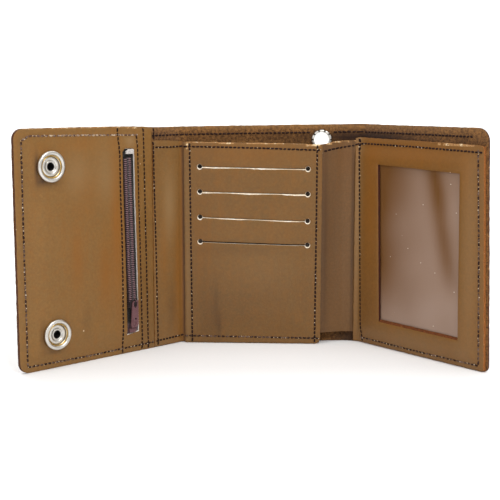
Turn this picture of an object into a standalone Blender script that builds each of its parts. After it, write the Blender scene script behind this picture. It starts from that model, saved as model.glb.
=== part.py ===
"""Trifold chain wallet standing open on its bottom edge.

The leather is laid out flat first, in (u, h, z): u runs along the width from the card panel's left
edge, h is the height above the outer face of the shell, and z is up the wallet. Folding it at four
vertical creases then gives the open standing pose. Millimetres here, metres in the scene.
"""
import math

import bmesh
import bpy

MM = 0.001

# Whole wallet
HEIGHT = 114.3
SHELL = 1.5                      # outer leather
GAP = 0.3                        # between layers
DIVIDER = 0.9                    # inner leather of the bill compartment
SEAM_GAP = 0.15                  # from a crease line to the leather on each side
LIFT = 0.4                       # inner pieces end this far above the bottom edge

# Widths along the flat layout
FLAP_END = -99.7
LEFT_OUTER, LEFT_INNER = -19.5, -1.0
CARD_WIDTH = 71.5
RIGHT_INNER, RIGHT_OUTER = 83.2, 91.2
RIGHT_END = 171.0                # at the top; the edge runs out by RIGHT_SLANT towards the bottom
RIGHT_SLANT = 3.9

# Heights of the crease axes above the shell's outer face
LEFT_INNER_H, LEFT_OUTER_H = 2.8, 4.2
RIGHT_INNER_H, RIGHT_OUTER_H = 4.9, 5.0

# How far each crease is bent from flat in the open standing pose, in degrees
LEFT_INNER_BEND, LEFT_OUTER_BEND = 42.0, 0.0
RIGHT_INNER_BEND, RIGHT_OUTER_BEND = 6.0, 46.5

# Flap: lining, coin pocket and zip
LINING = (3.0, 4.1)
FLAP_RADIUS = 5.0
POCKET_LINING = (1.8, 2.1)
TAPE = (2.4, 2.7)
COIL = (3.0, 4.3)
SLOT_LEFT, SLOT_RIGHT = -38.0, -30.6
SLOT_BOTTOM, SLOT_TOP = 10.3, 102.9
ZIP_U = -34.6                    # where the two rows of coil meet
TAPE_WIDTH = 6.6
COIL_WIDTH = 2.0
SLIDER_Z = 26.8                  # slider's centre at rest
SLIDER_LENGTH = 8.0
PULL_AXIS_H = 5.55
PULL_LENGTH = 13.6
PULL_WIDTH = 4.0

# Snaps
SNAPS = ((-80.9, 96.1), (-79.2, 16.0))      # upper and lower, (u, z) on the flap
SOCKET_RADIUS = 7.3
POST_HOLE = 2.2
STUDS = tuple((193.7 + u, z) for u, z in SNAPS)      # meet the snaps when both folds are shut
RIVET_HOLE = 1.7

# Card panel with its stack of pockets, leaning away from the shell to the right
CARD_TOP = 105.6
CARD_THICKNESS = 1.1
POCKET_THICKNESS = 0.3
SLIT_Z = (92.5, 79.5, 65.8, 53.3)
SLIT_ENDS = (8.9, 64.7)
SLIT_WIDTH = 0.5
SLIT_HOLE = 1.2
PEAK_U, PEAK_H = 72.0, 8.2       # the divider's front face where it stands furthest out
TAIL_H = 4.8                     # the same face at the right inner crease

# Identity panel
ID_START, FRAME_START, ID_END = 91.5, 90.5, 170.4
ID_TOP = 107.4
ID_LAYERS = {"divider": (2.35, 3.05), "film": (3.35, 3.6), "frame": (3.9, 4.9)}
WINDOW = (105.2, 157.3, 13.7, 93.5)
SHELL_RADIUS = 6.5

# Chain grommet
GROMMET_U, GROMMET_Z = 72.0, 106.7
GROMMET_BORE = 3.75
GROMMET_TUBE = 4.2

TURN_STEPS = 24

COLOURS = {
    "leather": ((0.26, 0.135, 0.045, 1), 0.42, 0.0),
    "suede": ((0.17, 0.085, 0.03, 1), 0.9, 0.0),
    "lining_cloth": ((0.06, 0.045, 0.035, 1), 0.85, 0.0),
    "zip_cloth": ((0.07, 0.045, 0.05, 1), 0.8, 0.0),
    "zip_coil": ((0.10, 0.055, 0.06, 1), 0.45, 0.0),
    "zip_metal": ((0.16, 0.09, 0.075, 1), 0.4, 0.6),
    "nickel": ((0.75, 0.73, 0.70, 1), 0.22, 1.0),
    "brass": ((0.62, 0.47, 0.22, 1), 0.3, 1.0),
    "vinyl": ((0.55, 0.45, 0.40, 0.5), 0.15, 0.0),
}


def clear_scene():
    for obj in list(bpy.data.objects):
        bpy.data.objects.remove(obj, do_unlink=True)


def material(name, kind):
    colour, roughness, metallic = COLOURS[kind]
    made = bpy.data.materials.new(name)
    made.use_nodes = True
    shader = made.node_tree.nodes["Principled BSDF"]
    shader.inputs["Base Color"].default_value = colour
    shader.inputs["Roughness"].default_value = roughness
    shader.inputs["Metallic"].default_value = metallic
    return made


class Body:
    """An empty on a crease or hinge axis, with the flat-layout point that it stands for."""

    def __init__(self, name, u, h, z=0.0, parent=None, turn=0.0):
        self.u, self.h, self.z = u, h, z
        self.empty = bpy.data.objects.new(name, None)
        bpy.context.collection.objects.link(self.empty)
        if parent:
            self.empty.parent = parent.empty
            self.empty.location = parent.local(u, h, z)
        self.empty.rotation_euler.z = math.radians(turn)

    def local(self, u, h, z):
        return ((u - self.u) * MM, (self.h - h) * MM, (z - self.z) * MM)


def finish(name, body, mesh, kind, smooth=False):
    """Turns a bmesh in the body's own coordinates into the named object."""
    bmesh.ops.recalc_face_normals(mesh, faces=mesh.faces)
    data = bpy.data.meshes.new(name)
    mesh.to_mesh(data)
    mesh.free()
    if smooth:
        data.shade_smooth()
        data.set_sharp_from_angle(angle=math.radians(35))
    obj = bpy.data.objects.new(name, data)
    obj.data.materials.append(material(name, kind))
    bpy.context.collection.objects.link(obj)
    obj.parent = body.empty
    return obj


def arc(cx, cz, radius, start, end, steps):
    """Points on an arc, angles in degrees."""
    return [
        (
            cx + radius * math.cos(math.radians(start + (end - start) * i / steps)),
            cz + radius * math.sin(math.radians(start + (end - start) * i / steps)),
        )
        for i in range(steps + 1)
    ]


def circle(cx, cz, radius, steps=16):
    return arc(cx, cz, radius, 0, 360, steps)[:-1]


def rectangle(u0, u1, z0, z1, radii=(0, 0, 0, 0)):
    """Outline with corner radii at bottom left, bottom right, top right and top left."""
    corners = [(u0, z0, 1, 1), (u1, z0, -1, 1), (u1, z1, -1, -1), (u0, z1, 1, -1)]
    points = []
    for (u, z, su, sz), radius, start in zip(corners, radii, (180, 270, 0, 90)):
        if radius:
            points += arc(u + su * radius, z + sz * radius, radius, start, start + 90, 6)
        else:
            points.append((u, z))
    return points


def slanted(outline):
    """The identity panel's right edge runs out towards the bottom."""
    return [
        (u + RIGHT_SLANT * (1 - z / HEIGHT) if u > RIGHT_END - 40 else u, z)
        for u, z in outline
    ]


def slit(u0, u1, z):
    """A narrow cut that ends in a punched hole on each side."""
    open_angle = math.degrees(math.asin(SLIT_WIDTH / 2 / SLIT_HOLE))
    left = arc(u0, z, SLIT_HOLE, open_angle, 360 - open_angle, 10)
    right = arc(u1, z, SLIT_HOLE, 180 + open_angle, 540 - open_angle, 10)
    return left + right


def plate(name, body, outline, layer, kind, holes=()):
    """A flat sheet: the outline in (u, z), less its holes, between two heights."""
    mesh = bmesh.new()
    edges = []
    for loop in [outline, *holes]:
        verts = [mesh.verts.new(body.local(u, layer[0], z)) for u, z in loop]
        edges += [mesh.edges.new((a, b)) for a, b in zip(verts, verts[1:] + verts[:1])]
    filled = bmesh.ops.triangle_fill(mesh, use_beauty=True, use_dissolve=False, edges=edges)
    faces = [f for f in filled["geom"] if isinstance(f, bmesh.types.BMFace)]
    grown = bmesh.ops.extrude_face_region(mesh, geom=faces)["geom"]
    moved = [v for v in grown if isinstance(v, bmesh.types.BMVert)]
    bmesh.ops.translate(mesh, vec=(0, -(layer[1] - layer[0]) * MM, 0), verts=moved)
    return finish(name, body, mesh, kind)


def strip(name, body, front, thickness, z0, z1, kind):
    """A sheet bent along a line of (u, h) points on its front face, standing from z0 to z1."""
    plan = front + [(u, h - thickness) for u, h in reversed(front)]
    mesh = bmesh.new()
    face = mesh.faces.new([mesh.verts.new(body.local(u, h, z0)) for u, h in plan])
    grown = bmesh.ops.extrude_face_region(mesh, geom=[face])["geom"]
    moved = [v for v in grown if isinstance(v, bmesh.types.BMVert)]
    bmesh.ops.translate(mesh, vec=(0, 0, (z1 - z0) * MM), verts=moved)
    return finish(name, body, mesh, kind)


def turned(name, body, u, z, profile, kind):
    """A closed (radius, height) profile turned about an axis square to the leather."""
    mesh = bmesh.new()
    rings = []
    for i in range(TURN_STEPS):
        angle = 2 * math.pi * i / TURN_STEPS
        rings.append([
            mesh.verts.new(body.local(u + r * math.cos(angle), h, z + r * math.sin(angle)))
            for r, h in profile
        ])
    for ring, after in zip(rings, rings[1:] + rings[:1]):
        for i in range(len(profile)):
            j = (i + 1) % len(profile)
            if profile[i][0] or profile[j][0]:
                mesh.faces.new((ring[i], ring[j], after[j], after[i]))
    bmesh.ops.remove_doubles(mesh, verts=mesh.verts, dist=1e-7)
    bmesh.ops.dissolve_degenerate(mesh, edges=mesh.edges, dist=1e-7)
    return finish(name, body, mesh, kind, smooth=True)


def box(name, body, u, h, z, kind):
    """A plain block between pairs of u, h and z."""
    return plate(name, body, rectangle(u[0], u[1], z[0], z[1]), h, kind)


def bodies():
    """The root and the creases: each fold is a narrow strip between two vertical hinges."""
    centre = Body("centre", 0.0, 0.0)
    left = Body("left_inner_crease", LEFT_INNER, LEFT_INNER_H, 0, centre, LEFT_INNER_BEND)
    flap = Body("left_outer_crease", LEFT_OUTER, LEFT_OUTER_H, 0, left, LEFT_OUTER_BEND)
    right = Body("right_inner_crease", RIGHT_INNER, RIGHT_INNER_H, 0, centre, -RIGHT_INNER_BEND)
    card_id = Body("right_outer_crease", RIGHT_OUTER, RIGHT_OUTER_H, 0, right, -RIGHT_OUTER_BEND)
    return centre, left, flap, right, card_id


def shell(centre, left, flap, right, card_id):
    """The outer leather, one sheet split at the creases."""
    layer = (0.0, SHELL)
    ends = {
        "shell_flap": (flap, FLAP_END, LEFT_OUTER - SEAM_GAP, (FLAP_RADIUS, 0, 0, FLAP_RADIUS)),
        "shell_left_fold": (left, LEFT_OUTER + SEAM_GAP, LEFT_INNER - SEAM_GAP, (0, 0, 0, 0)),
        "shell_centre": (centre, LEFT_INNER + SEAM_GAP, RIGHT_INNER - SEAM_GAP, (0, 0, 0, 0)),
        "shell_right_fold": (right, RIGHT_INNER + SEAM_GAP, RIGHT_OUTER - SEAM_GAP, (0, 0, 0, 0)),
        "shell_id_panel": (card_id, RIGHT_OUTER + SEAM_GAP, RIGHT_END, (0, 3.0, SHELL_RADIUS, 0)),
    }
    holes = {
        "shell_flap": [circle(u, z, POST_HOLE) for u, z in SNAPS],
        "shell_centre": [circle(GROMMET_U, GROMMET_Z, GROMMET_TUBE + GAP, 20)],
        "shell_id_panel": [circle(u, z, RIVET_HOLE) for u, z in STUDS],
    }
    for name, (body, u0, u1, radii) in ends.items():
        outline = slanted(rectangle(u0, u1, 0, HEIGHT, radii))
        plate(name, body, outline, layer, "suede", holes.get(name, ()))


def divider(centre, left, right, card_id):
    """The front wall of the bill compartment, split at the creases. It rises from the shell
    towards the card panel's right side and falls back before the right fold."""
    low = SHELL + GAP + DIVIDER
    box("divider_left_fold", left, (LEFT_OUTER + SEAM_GAP, LEFT_INNER - SEAM_GAP),
        (low - DIVIDER, low), (LIFT, 106.6), "leather")
    bend = [(LEFT_INNER + SEAM_GAP, low), (0, low), (PEAK_U, PEAK_H), (RIGHT_INNER - SEAM_GAP, TAIL_H)]
    strip("divider_centre", centre, bend, DIVIDER, LIFT, CARD_TOP - GAP, "leather")
    far = ID_LAYERS["divider"]
    fold = [(RIGHT_INNER + SEAM_GAP, TAIL_H), (RIGHT_OUTER - SEAM_GAP, far[1])]
    strip("divider_right_fold", right, fold, far[1] - far[0], 5.8, 106.6, "leather")
    outline = slanted(rectangle(ID_START, ID_END, LIFT, ID_TOP - GAP))
    plate("divider_id_panel", card_id, outline, far, "leather")


def card_panel(centre):
    """The slit panel and a cloth pocket behind each slit, on the divider's slope."""
    low = SHELL + GAP + DIVIDER
    slope = math.atan2(PEAK_H - low, PEAK_U)
    stack = Body("card_stack", 0, low, 0, centre, -math.degrees(slope))
    height = low + GAP
    for number, z in enumerate(SLIT_Z, 1):
        layer = (height, height + POCKET_THICKNESS)
        box(f"card_pocket_{number}", stack, (5.0, CARD_WIDTH - 4.5), layer, (3.0, z + 5.0), "lining_cloth")
        height += POCKET_THICKNESS + GAP
    outline = rectangle(0, CARD_WIDTH, LIFT, CARD_TOP)
    slits = [slit(*SLIT_ENDS, z) for z in SLIT_Z]
    plate("card_panel", stack, outline, (height, height + CARD_THICKNESS), "leather", slits)


def flap_pieces(flap):
    """Lining with the zip slot, the coin pocket behind it and the zip's fixed pieces."""
    holes = [circle(u, z, POST_HOLE) for u, z in SNAPS]
    slot = rectangle(SLOT_LEFT, SLOT_RIGHT, SLOT_BOTTOM, SLOT_TOP)
    outline = rectangle(FLAP_END, LEFT_OUTER - SEAM_GAP, 0, HEIGHT, (FLAP_RADIUS, 0, 0, FLAP_RADIUS))
    plate("flap_lining", flap, outline, LINING, "leather", [*holes, slot])
    box("coin_pocket_lining", flap, (-66.0, -23.0), POCKET_LINING, (5.0, 108.0), "lining_cloth")
    for side, sign in (("left", -1), ("right", 1)):
        inner = ZIP_U + sign * SEAM_GAP
        tape = sorted((inner, inner + sign * TAPE_WIDTH))
        coil = sorted((inner, inner + sign * COIL_WIDTH))
        box(f"zip_tape_{side}", flap, tape, TAPE, (SLOT_BOTTOM - 5, SLOT_TOP + 5), "zip_cloth")
        box(f"zip_coil_{side}", flap, coil, COIL, (SLOT_BOTTOM + 3, SLOT_TOP - 3), "zip_coil")
    stop_u = (ZIP_U - COIL_WIDTH, ZIP_U + COIL_WIDTH)
    box("zip_bottom_stop", flap, stop_u, COIL, (SLOT_BOTTOM + 0.4, SLOT_BOTTOM + 2.6), "zip_metal")
    box("zip_top_stop", flap, stop_u, COIL, (SLOT_TOP - 2.6, SLOT_TOP - 0.4), "zip_metal")


def snap_sockets(flap):
    """Cap with its post outside the flap, socket and ring spring inside."""
    floor = LINING[1] + 0.15
    cap = [(0, -1.1), (6.2, -0.9), (7.3, -0.3), (7.3, -0.15), (1.9, -0.15), (1.9, floor + 0.6),
           (2.5, floor + 0.65), (2.5, floor + 0.95), (2.1, floor + 1.15), (1.6, floor + 1.0), (1.5, 0.4),
           (0, 0.4)]
    socket = [(2.1, floor), (6.6, floor), (SOCKET_RADIUS, floor + 0.6), (SOCKET_RADIUS, floor + 1.3),
              (6.6, floor + 1.7), (5.8, floor + 1.7), (5.0, floor + 1.2), (5.2, floor + 0.5),
              (2.1, floor + 0.5)]
    spring = [(4.3, floor + 0.8), (4.6, floor + 0.6), (4.85, floor + 0.8), (4.6, floor + 1.05)]
    for place, (u, z) in zip(("upper", "lower"), SNAPS):
        turned(f"snap_cap_{place}", flap, u, z, cap, "nickel")
        turned(f"snap_socket_{place}", flap, u, z, socket, "nickel")
        turned(f"snap_spring_{place}", flap, u, z, spring, "brass")


def zip_slider(flap):
    """Slider over the two coils, with an arch that holds the pull."""
    top = COIL[1] + GAP
    base = Body("slider_base", ZIP_U, top, SLIDER_Z, flap)
    half, half_width = SLIDER_LENGTH / 2, 2.95
    profile = [(-half_width, 4.15), (-half_width, top + 0.4), (half_width, top + 0.4), (half_width, 4.15),
               (half_width - 0.5, 4.15), (half_width - 0.5, top), (-half_width + 0.5, top),
               (-half_width + 0.5, 4.15)]
    mesh = bmesh.new()
    verts = [mesh.verts.new(base.local(ZIP_U + u, h, SLIDER_Z - half)) for u, h in profile]
    grown = bmesh.ops.extrude_face_region(mesh, geom=[mesh.faces.new(verts)])["geom"]
    moved = [v for v in grown if isinstance(v, bmesh.types.BMVert)]
    bmesh.ops.translate(mesh, vec=(0, 0, SLIDER_LENGTH * MM), verts=moved)
    slider = finish("zip_slider", base, mesh, "zip_metal")
    arch_profile = [(-2.6, top + 0.2), (-2.6, 6.5), (2.6, 6.5), (2.6, top + 0.2), (1.8, top + 0.2),
                    (1.8, PULL_AXIS_H + 0.5), (-1.8, PULL_AXIS_H + 0.5), (-1.8, top + 0.2)]
    mesh = bmesh.new()
    verts = [mesh.verts.new(base.local(ZIP_U - 0.8, h, SLIDER_Z + z)) for z, h in arch_profile]
    grown = bmesh.ops.extrude_face_region(mesh, geom=[mesh.faces.new(verts)])["geom"]
    moved = [v for v in grown if isinstance(v, bmesh.types.BMVert)]
    bmesh.ops.translate(mesh, vec=(1.6 * MM, 0, 0), verts=moved)
    arch = finish("slider_arch_tool", base, mesh, "zip_metal")
    arch.hide_render = True
    arch.display_type = "WIRE"
    union = slider.modifiers.new("arch", "BOOLEAN")
    union.operation = "UNION"
    union.object = arch
    return base


def zip_pull(base):
    """Flat tab whose top bar turns under the slider's arch."""
    pivot = Body("pull_axis", ZIP_U, PULL_AXIS_H, SLIDER_Z, base)
    half = PULL_WIDTH / 2
    bottom = SLIDER_Z - PULL_LENGTH
    outline = rectangle(ZIP_U - half, ZIP_U + half, bottom, SLIDER_Z + 0.3, (1.2, 1.2, 0.4, 0.4))
    eye = rectangle(ZIP_U - 1.2, ZIP_U + 1.2, SLIDER_Z - 3.3, SLIDER_Z - 0.3)
    hole = circle(ZIP_U, bottom + 2.6, 0.7, 10)
    plate("zip_pull", pivot, outline, (PULL_AXIS_H - 0.3, PULL_AXIS_H + 0.3), "zip_metal", [eye, hole])


def id_panel(card_id):
    """Window frame and clear film over the divider."""
    u0, u1, z0, z1 = WINDOW
    box("window_film", card_id, (u0 - 5, u1 + 5), ID_LAYERS["film"], (z0 - 5, z1 + 5), "vinyl")
    outline = slanted(rectangle(FRAME_START, ID_END, LIFT, ID_TOP, (0, 1.5, 3.0, 0)))
    plate("id_frame", card_id, outline, ID_LAYERS["frame"], "leather", [rectangle(u0, u1, z0, z1)])


def snap_studs(card_id):
    """Stud outside the identity panel and its rivet inside."""
    stud = [(2.9, -0.15), (6.2, -0.15), (6.2, -0.5), (3.7, -0.75), (3.5, -1.3), (3.9, -1.8),
            (3.8, -2.2), (3.4, -2.45), (2.9, -2.3)]
    rivet = [(0, 2.05), (4.4, 2.05), (4.4, 1.65), (1.4, 1.65), (1.4, -1.9), (0, -1.9)]
    for place, (u, z) in zip(("upper", "lower"), STUDS):
        turned(f"snap_stud_{place}", card_id, u, z, stud, "nickel")
        turned(f"snap_rivet_{place}", card_id, u, z, rivet, "nickel")


def grommet(centre):
    """Eyelet with its flange outside and a rolled edge over a washer inside."""
    washer_h = SHELL + GAP
    eyelet = [(GROMMET_BORE, -0.9), (6.3, -0.9), (6.8, -0.5), (6.8, -0.2), (GROMMET_TUBE, -0.2),
              (GROMMET_TUBE, washer_h + 0.6), (5.2, washer_h + 0.6), (5.5, washer_h + 0.9),
              (5.1, washer_h + 1.3), (4.2, washer_h + 1.3), (GROMMET_BORE, washer_h + 0.8)]
    washer = [(GROMMET_TUBE + 0.2, washer_h), (6.2, washer_h), (6.2, washer_h + 0.35),
              (GROMMET_TUBE + 0.2, washer_h + 0.35)]
    turned("grommet_eyelet", centre, GROMMET_U, GROMMET_Z, eyelet, "nickel")
    turned("grommet_washer", centre, GROMMET_U, GROMMET_Z, washer, "nickel")


def centre_on_origin(root):
    """Moves the root so that the wallet's box stands centred on the origin."""
    bpy.context.view_layer.update()
    points = [
        obj.matrix_world @ vertex.co
        for obj in bpy.data.objects
        if obj.type == "MESH" and not obj.hide_render
        for vertex in obj.data.vertices
    ]
    for axis in (0, 1):
        low, high = min(p[axis] for p in points), max(p[axis] for p in points)
        root.location[axis] -= (low + high) / 2


def main():
    clear_scene()
    centre, left, flap, right, card_id = bodies()
    shell(centre, left, flap, right, card_id)
    divider(centre, left, right, card_id)
    card_panel(centre)
    flap_pieces(flap)
    snap_sockets(flap)
    zip_pull(zip_slider(flap))
    id_panel(card_id)
    snap_studs(card_id)
    grommet(centre)
    centre_on_origin(centre.empty)


main()
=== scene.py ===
"""Looks of the trifold chain wallet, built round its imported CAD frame.

Leather, cloth and thread are made flat first, in millimetres: u runs along the width from the card
panel's left edge, h is the height above the shell's outer face and z is up. place() then bends them
at the same creases as the CAD bodies. A few edges, the slits, the zip and the window's corners sit up
to 2.5 mm from their CAD nodes, where that follows the photograph more closely.
"""
import math
import random

import bmesh
import bpy
import numpy as np
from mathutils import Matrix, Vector


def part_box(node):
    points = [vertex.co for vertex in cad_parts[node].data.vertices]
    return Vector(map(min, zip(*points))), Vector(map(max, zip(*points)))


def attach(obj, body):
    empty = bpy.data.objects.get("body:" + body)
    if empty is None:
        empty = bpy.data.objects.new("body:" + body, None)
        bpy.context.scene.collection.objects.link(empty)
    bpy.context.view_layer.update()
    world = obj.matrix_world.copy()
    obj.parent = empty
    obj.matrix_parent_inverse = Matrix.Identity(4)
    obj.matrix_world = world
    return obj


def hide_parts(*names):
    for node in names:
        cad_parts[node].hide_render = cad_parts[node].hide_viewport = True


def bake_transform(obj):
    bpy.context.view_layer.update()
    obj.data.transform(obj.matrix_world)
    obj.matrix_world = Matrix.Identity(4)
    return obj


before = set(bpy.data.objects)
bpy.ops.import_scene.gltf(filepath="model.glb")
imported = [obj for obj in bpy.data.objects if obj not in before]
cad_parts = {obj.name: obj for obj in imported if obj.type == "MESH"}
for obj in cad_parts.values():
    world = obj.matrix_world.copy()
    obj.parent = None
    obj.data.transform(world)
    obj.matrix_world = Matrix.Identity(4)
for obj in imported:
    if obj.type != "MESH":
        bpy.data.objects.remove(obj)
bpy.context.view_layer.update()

MM = 0.001

# ---------------------------------------------------------------- flat layout, close to the CAD's
HEIGHT = 114.3
SEAM_GAP = 0.15
SHELL = 1.5
DIVIDER = 0.9
DIVIDER_LOW = 2.7                    # divider's front where it lies on the shell
LIFT = 0.4
FLAP_END = -99.0
LEFT_OUTER, LEFT_INNER = -19.5, -1.0
CARD_WIDTH = 71.5
RIGHT_INNER, RIGHT_OUTER = 83.2, 91.2
RIGHT_END, RIGHT_SLANT = 171.0, 3.9    # the right edge runs out towards the bottom
RIGHT_BOW = 1.1                        # and bows in at mid-height
POST_HOLE, RIVET_HOLE, GROMMET_HOLE = 2.2, 1.7, 4.5
CENTRE_JOIN, FLAP_JOIN, ID_JOIN, STRIP_JOIN = 40.0, -10.25, 87.2, 20.0   # where sheets meet edge to edge
AXIS_H = {"left_outer_crease": 4.2, "left_inner_crease": 2.8,
          "right_inner_crease": 4.9, "right_outer_crease": 5.0}
AXIS_U = {"left_outer_crease": LEFT_OUTER, "left_inner_crease": LEFT_INNER,
          "right_inner_crease": RIGHT_INNER, "right_outer_crease": RIGHT_OUTER}
BEND = {"left_inner_crease": 42.0, "right_inner_crease": -6.0, "right_outer_crease": -46.5}
ZONE = {"left_outer_crease": 3.8, "left_inner_crease": 2.2,
        "right_inner_crease": 3.6, "right_outer_crease": 2.6}   # half widths of the soft creases
LINING = (3.0, 4.1)
SLOT = (-38.0, -30.6, 10.3, 103.3)
ZIP_U = -34.6
SLIDER_Z = 26.8
PULL_H = 5.55
SNAPS = ((-80.9, 96.4), (-79.8, 16.7))
STUDS = tuple((193.7 + u, z) for u, z in SNAPS)
SLIT_Z = (92.7, 79.7, 66.5, 53.7)
SLIT_ENDS = (8.9, 64.7)
PEAK_U, PEAK_H, TAIL_H = 72.0, 8.2, 4.8
FRAME_START, ID_END = 89.4, 169.8
WINDOW = (105.2, 157.3, 13.7, 93.5)
GROMMET_U, GROMMET_Z = 72.0, 106.7

shell_low, shell_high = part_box("shell_centre")
ORIGIN_X = shell_low.x / MM - (LEFT_INNER + SEAM_GAP)
ORIGIN_Y = shell_high.y / MM
CARD_SLOPE = math.atan2(PEAK_H - DIVIDER_LOW, PEAK_U)


def smooth(value, low, high):
    """0 at low and 1 at high, easing at both ends."""
    t = np.clip((np.asarray(value, float) - low) / (high - low), 0, 1)
    return t * t * (3 - 2 * t)


def right_run(z):
    """How far the identity panel's right edge has run out, at a height."""
    return RIGHT_SLANT * (1 - z / HEIGHT) - RIGHT_BOW * math.sin(math.pi * min(max(z / HEIGHT, 0), 1))


# ---------------------------------------------------------------- folding
def turn(x, y, crease, degrees):
    """Turns plan points about a crease's axis."""
    u0, v0 = AXIS_U[crease], -AXIS_H[crease]
    angle = np.radians(degrees)
    c, s = np.cos(angle), np.sin(angle)
    return u0 + (x - u0) * c - (y - v0) * s, v0 + (x - u0) * s + (y - v0) * c


def place(points, left, inner, outer):
    """World metres of flat (u, h, z) points, for how far each crease has bent them, 0 to 1."""
    u, h, z = np.asarray(points, float).T
    x, y = turn(u, -h, "right_outer_crease", BEND["right_outer_crease"] * outer)
    x, y = turn(x, y, "right_inner_crease", BEND["right_inner_crease"] * inner)
    x, y = turn(x, y, "left_inner_crease", BEND["left_inner_crease"] * left)
    return np.column_stack((x + ORIGIN_X, y + ORIGIN_Y, z)) * MM


RIGID = {"flap": (1, 0, 0), "zip_slider": (1, 0, 0), "zip_pull": (1, 0, 0), "left_fold": (1, 0, 0),
         "centre": (0, 0, 0), "right_fold": (0, 1, 0), "id_panel": (0, 1, 1)}


def place_on(points, body):
    """World metres of flat points that move with one body."""
    return place(points, *(np.full(len(points), float(w)) for w in RIGID[body]))


CROSSING = {  # bodies on each side of a crease, from left to right
    "left_outer_crease": ("flap", "left_fold"), "left_inner_crease": ("left_fold", "centre"),
    "right_inner_crease": ("centre", "right_fold"), "right_outer_crease": ("right_fold", "id_panel"),
}


def zone_ends(crease):
    """Where the soft crease begins and ends, at rest, in world metres."""
    u0, h0, half = AXIS_U[crease], AXIS_H[crease], ZONE[crease]
    a, b = CROSSING[crease]
    start = place_on(np.array([[u0 - half, h0, 0.0]]), a)[0]
    end = place_on(np.array([[u0 + half, h0, 0.0]]), b)[0]
    return start, end


def place_across(points, crease):
    """World metres of flat points on a piece that bends at one crease."""
    start, end = zone_ends(crease)
    along = (end - start) / np.dot(end - start, end - start)
    a, b = (np.array(RIGID[body], float) for body in CROSSING[crease])
    share = smooth(points[:, 0], AXIS_U[crease] - ZONE[crease], AXIS_U[crease] + ZONE[crease])
    for _ in range(60):
        weights = a[:, None] + (b - a)[:, None] * share
        rest = place(points, *weights)
        share = 0.5 * share + 0.5 * smooth((rest - start) @ along, 0, 1)
    return rest


# ---------------------------------------------------------------- heights of the layers
def wave(u, z, seed, size):
    """Smooth random ripple, about -1 to 1, with bumps of about that size."""
    rng = random.Random(seed)
    total = 0.0
    for _ in range(7):
        a, f, p = rng.uniform(0, math.tau), rng.uniform(0.6, 1.5) / size, rng.uniform(0, math.tau)
        total = total + np.sin((u * math.cos(a) + z * math.sin(a)) * f * math.tau / 2 + p)
    return total / 4.0


def bump(u, z, spot):
    """A soft spot (u, z, half width, half height, amount)."""
    cu, cz, ru, rz, amount = spot
    return amount * np.exp(-(((u - cu) / ru) ** 2 + ((z - cz) / rz) ** 2))


def groove(distance, depth, width=0.9):
    return -depth * np.exp(-(distance / width) ** 2)


def flap_squeeze(u, z):
    """Share of the gap left between the flap's layers: they are sewn together round the edge."""
    edge = np.minimum.reduce([u - FLAP_END - 3.0, -22.0 - u, z - 1.5, 112.8 - z])
    return 0.06 + 0.94 * smooth(edge, 0.0, 13.0)


def flap_level(u, z, h):
    return SHELL + (h - SHELL) * flap_squeeze(u, z)


def lining_back(u, z):
    seams = groove(u + 40.5, 0.22) + groove(u + 28.5, 0.25) + groove(u + 24.5, 0.18)
    dents = bump(u, z, (-46, 60, 5, 45, -0.25)) + 0.16 * wave(u, z, 3, 26)
    return flap_level(u, z, LINING[0]) + (seams + dents) * smooth(flap_squeeze(u, z), 0.06, 0.5)


def divider_front(u, z):
    """Front of the divider, which stands away from the shell to the right of the card panel."""
    line = np.interp(u, (LEFT_OUTER, 0.0, PEAK_U, RIGHT_INNER, RIGHT_OUTER, ID_END),
                     (DIVIDER_LOW, DIVIDER_LOW, PEAK_H, TAIL_H, 3.05, 3.05))
    soft = np.interp(u + 1.2, (PEAK_U, RIGHT_INNER), (PEAK_H, TAIL_H))
    line = np.where((u > PEAK_U) & (u < PEAK_U + 6), np.minimum(line, soft + 0.4), line)
    sag = bump(u, z, (78.5, 45, 3.5, 45, -0.3)) + bump(u, z, (-9, 60, 5, 35, 0.28))
    return line + sag


def id_squeeze(u, z):
    right = 168.4 + RIGHT_SLANT * (1 - z / HEIGHT) - u
    edge = np.minimum.reduce([right, z - 1.5, 105.5 - z])
    left = 0.97 + 0.03 * smooth(u - FRAME_START, 1.0, 9.0)
    return np.minimum(0.42 + 0.58 * smooth(edge, 0.0, 9.0), left)


def id_level(u, z, h):
    return SHELL + (h - SHELL) * id_squeeze(u, z)


def id_divider_front(u, z):
    strip = smooth(u, RIGHT_OUTER - 0.5, RIGHT_OUTER + 2.5)
    return divider_front(u, z) * (1 - strip) + (id_level(u, z, 2.35) + 0.7) * strip


def card_squeeze(u, z):
    edge = np.minimum.reduce([u - 2.5, 70.0 - u, z - 2.0])
    return 0.30 + 0.70 * smooth(edge, 0.0, 16.0)


def card_back(u, z):
    """Height above the divider, in the leaning frame of the card pockets."""
    slack = bump(u, z, (17, 14, 2.2, 20, -0.25)) + bump(u, z, (40, 40, 14, 9, 0.15))
    return 2.7 * card_squeeze(u, z) + (slack + 0.12 * wave(u, z, 8, 30)) * smooth(z, 2, 12)


def lean(points):
    """Flat points of the card stack, (u, height above the divider, z), turned to its slope."""
    u, h, z = points.T
    c, s = math.cos(CARD_SLOPE), math.sin(CARD_SLOPE)
    return np.column_stack((u * c - h * s, DIVIDER_LOW + u * s + h * c, z))


# ---------------------------------------------------------------- sheets
def steps(low, high, step, extra=()):
    """Grid lines from low to high, with extra lines where the sheet needs them."""
    lines = set(np.round(np.linspace(low, high, max(2, int(round((high - low) / step)) + 1)), 4))
    for value in extra:
        lines = {x for x in lines if abs(x - value) > 0.35 * min(step, 1.0) or x in (low, high)}
        lines.add(round(value, 4))
    return sorted(lines)


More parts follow.
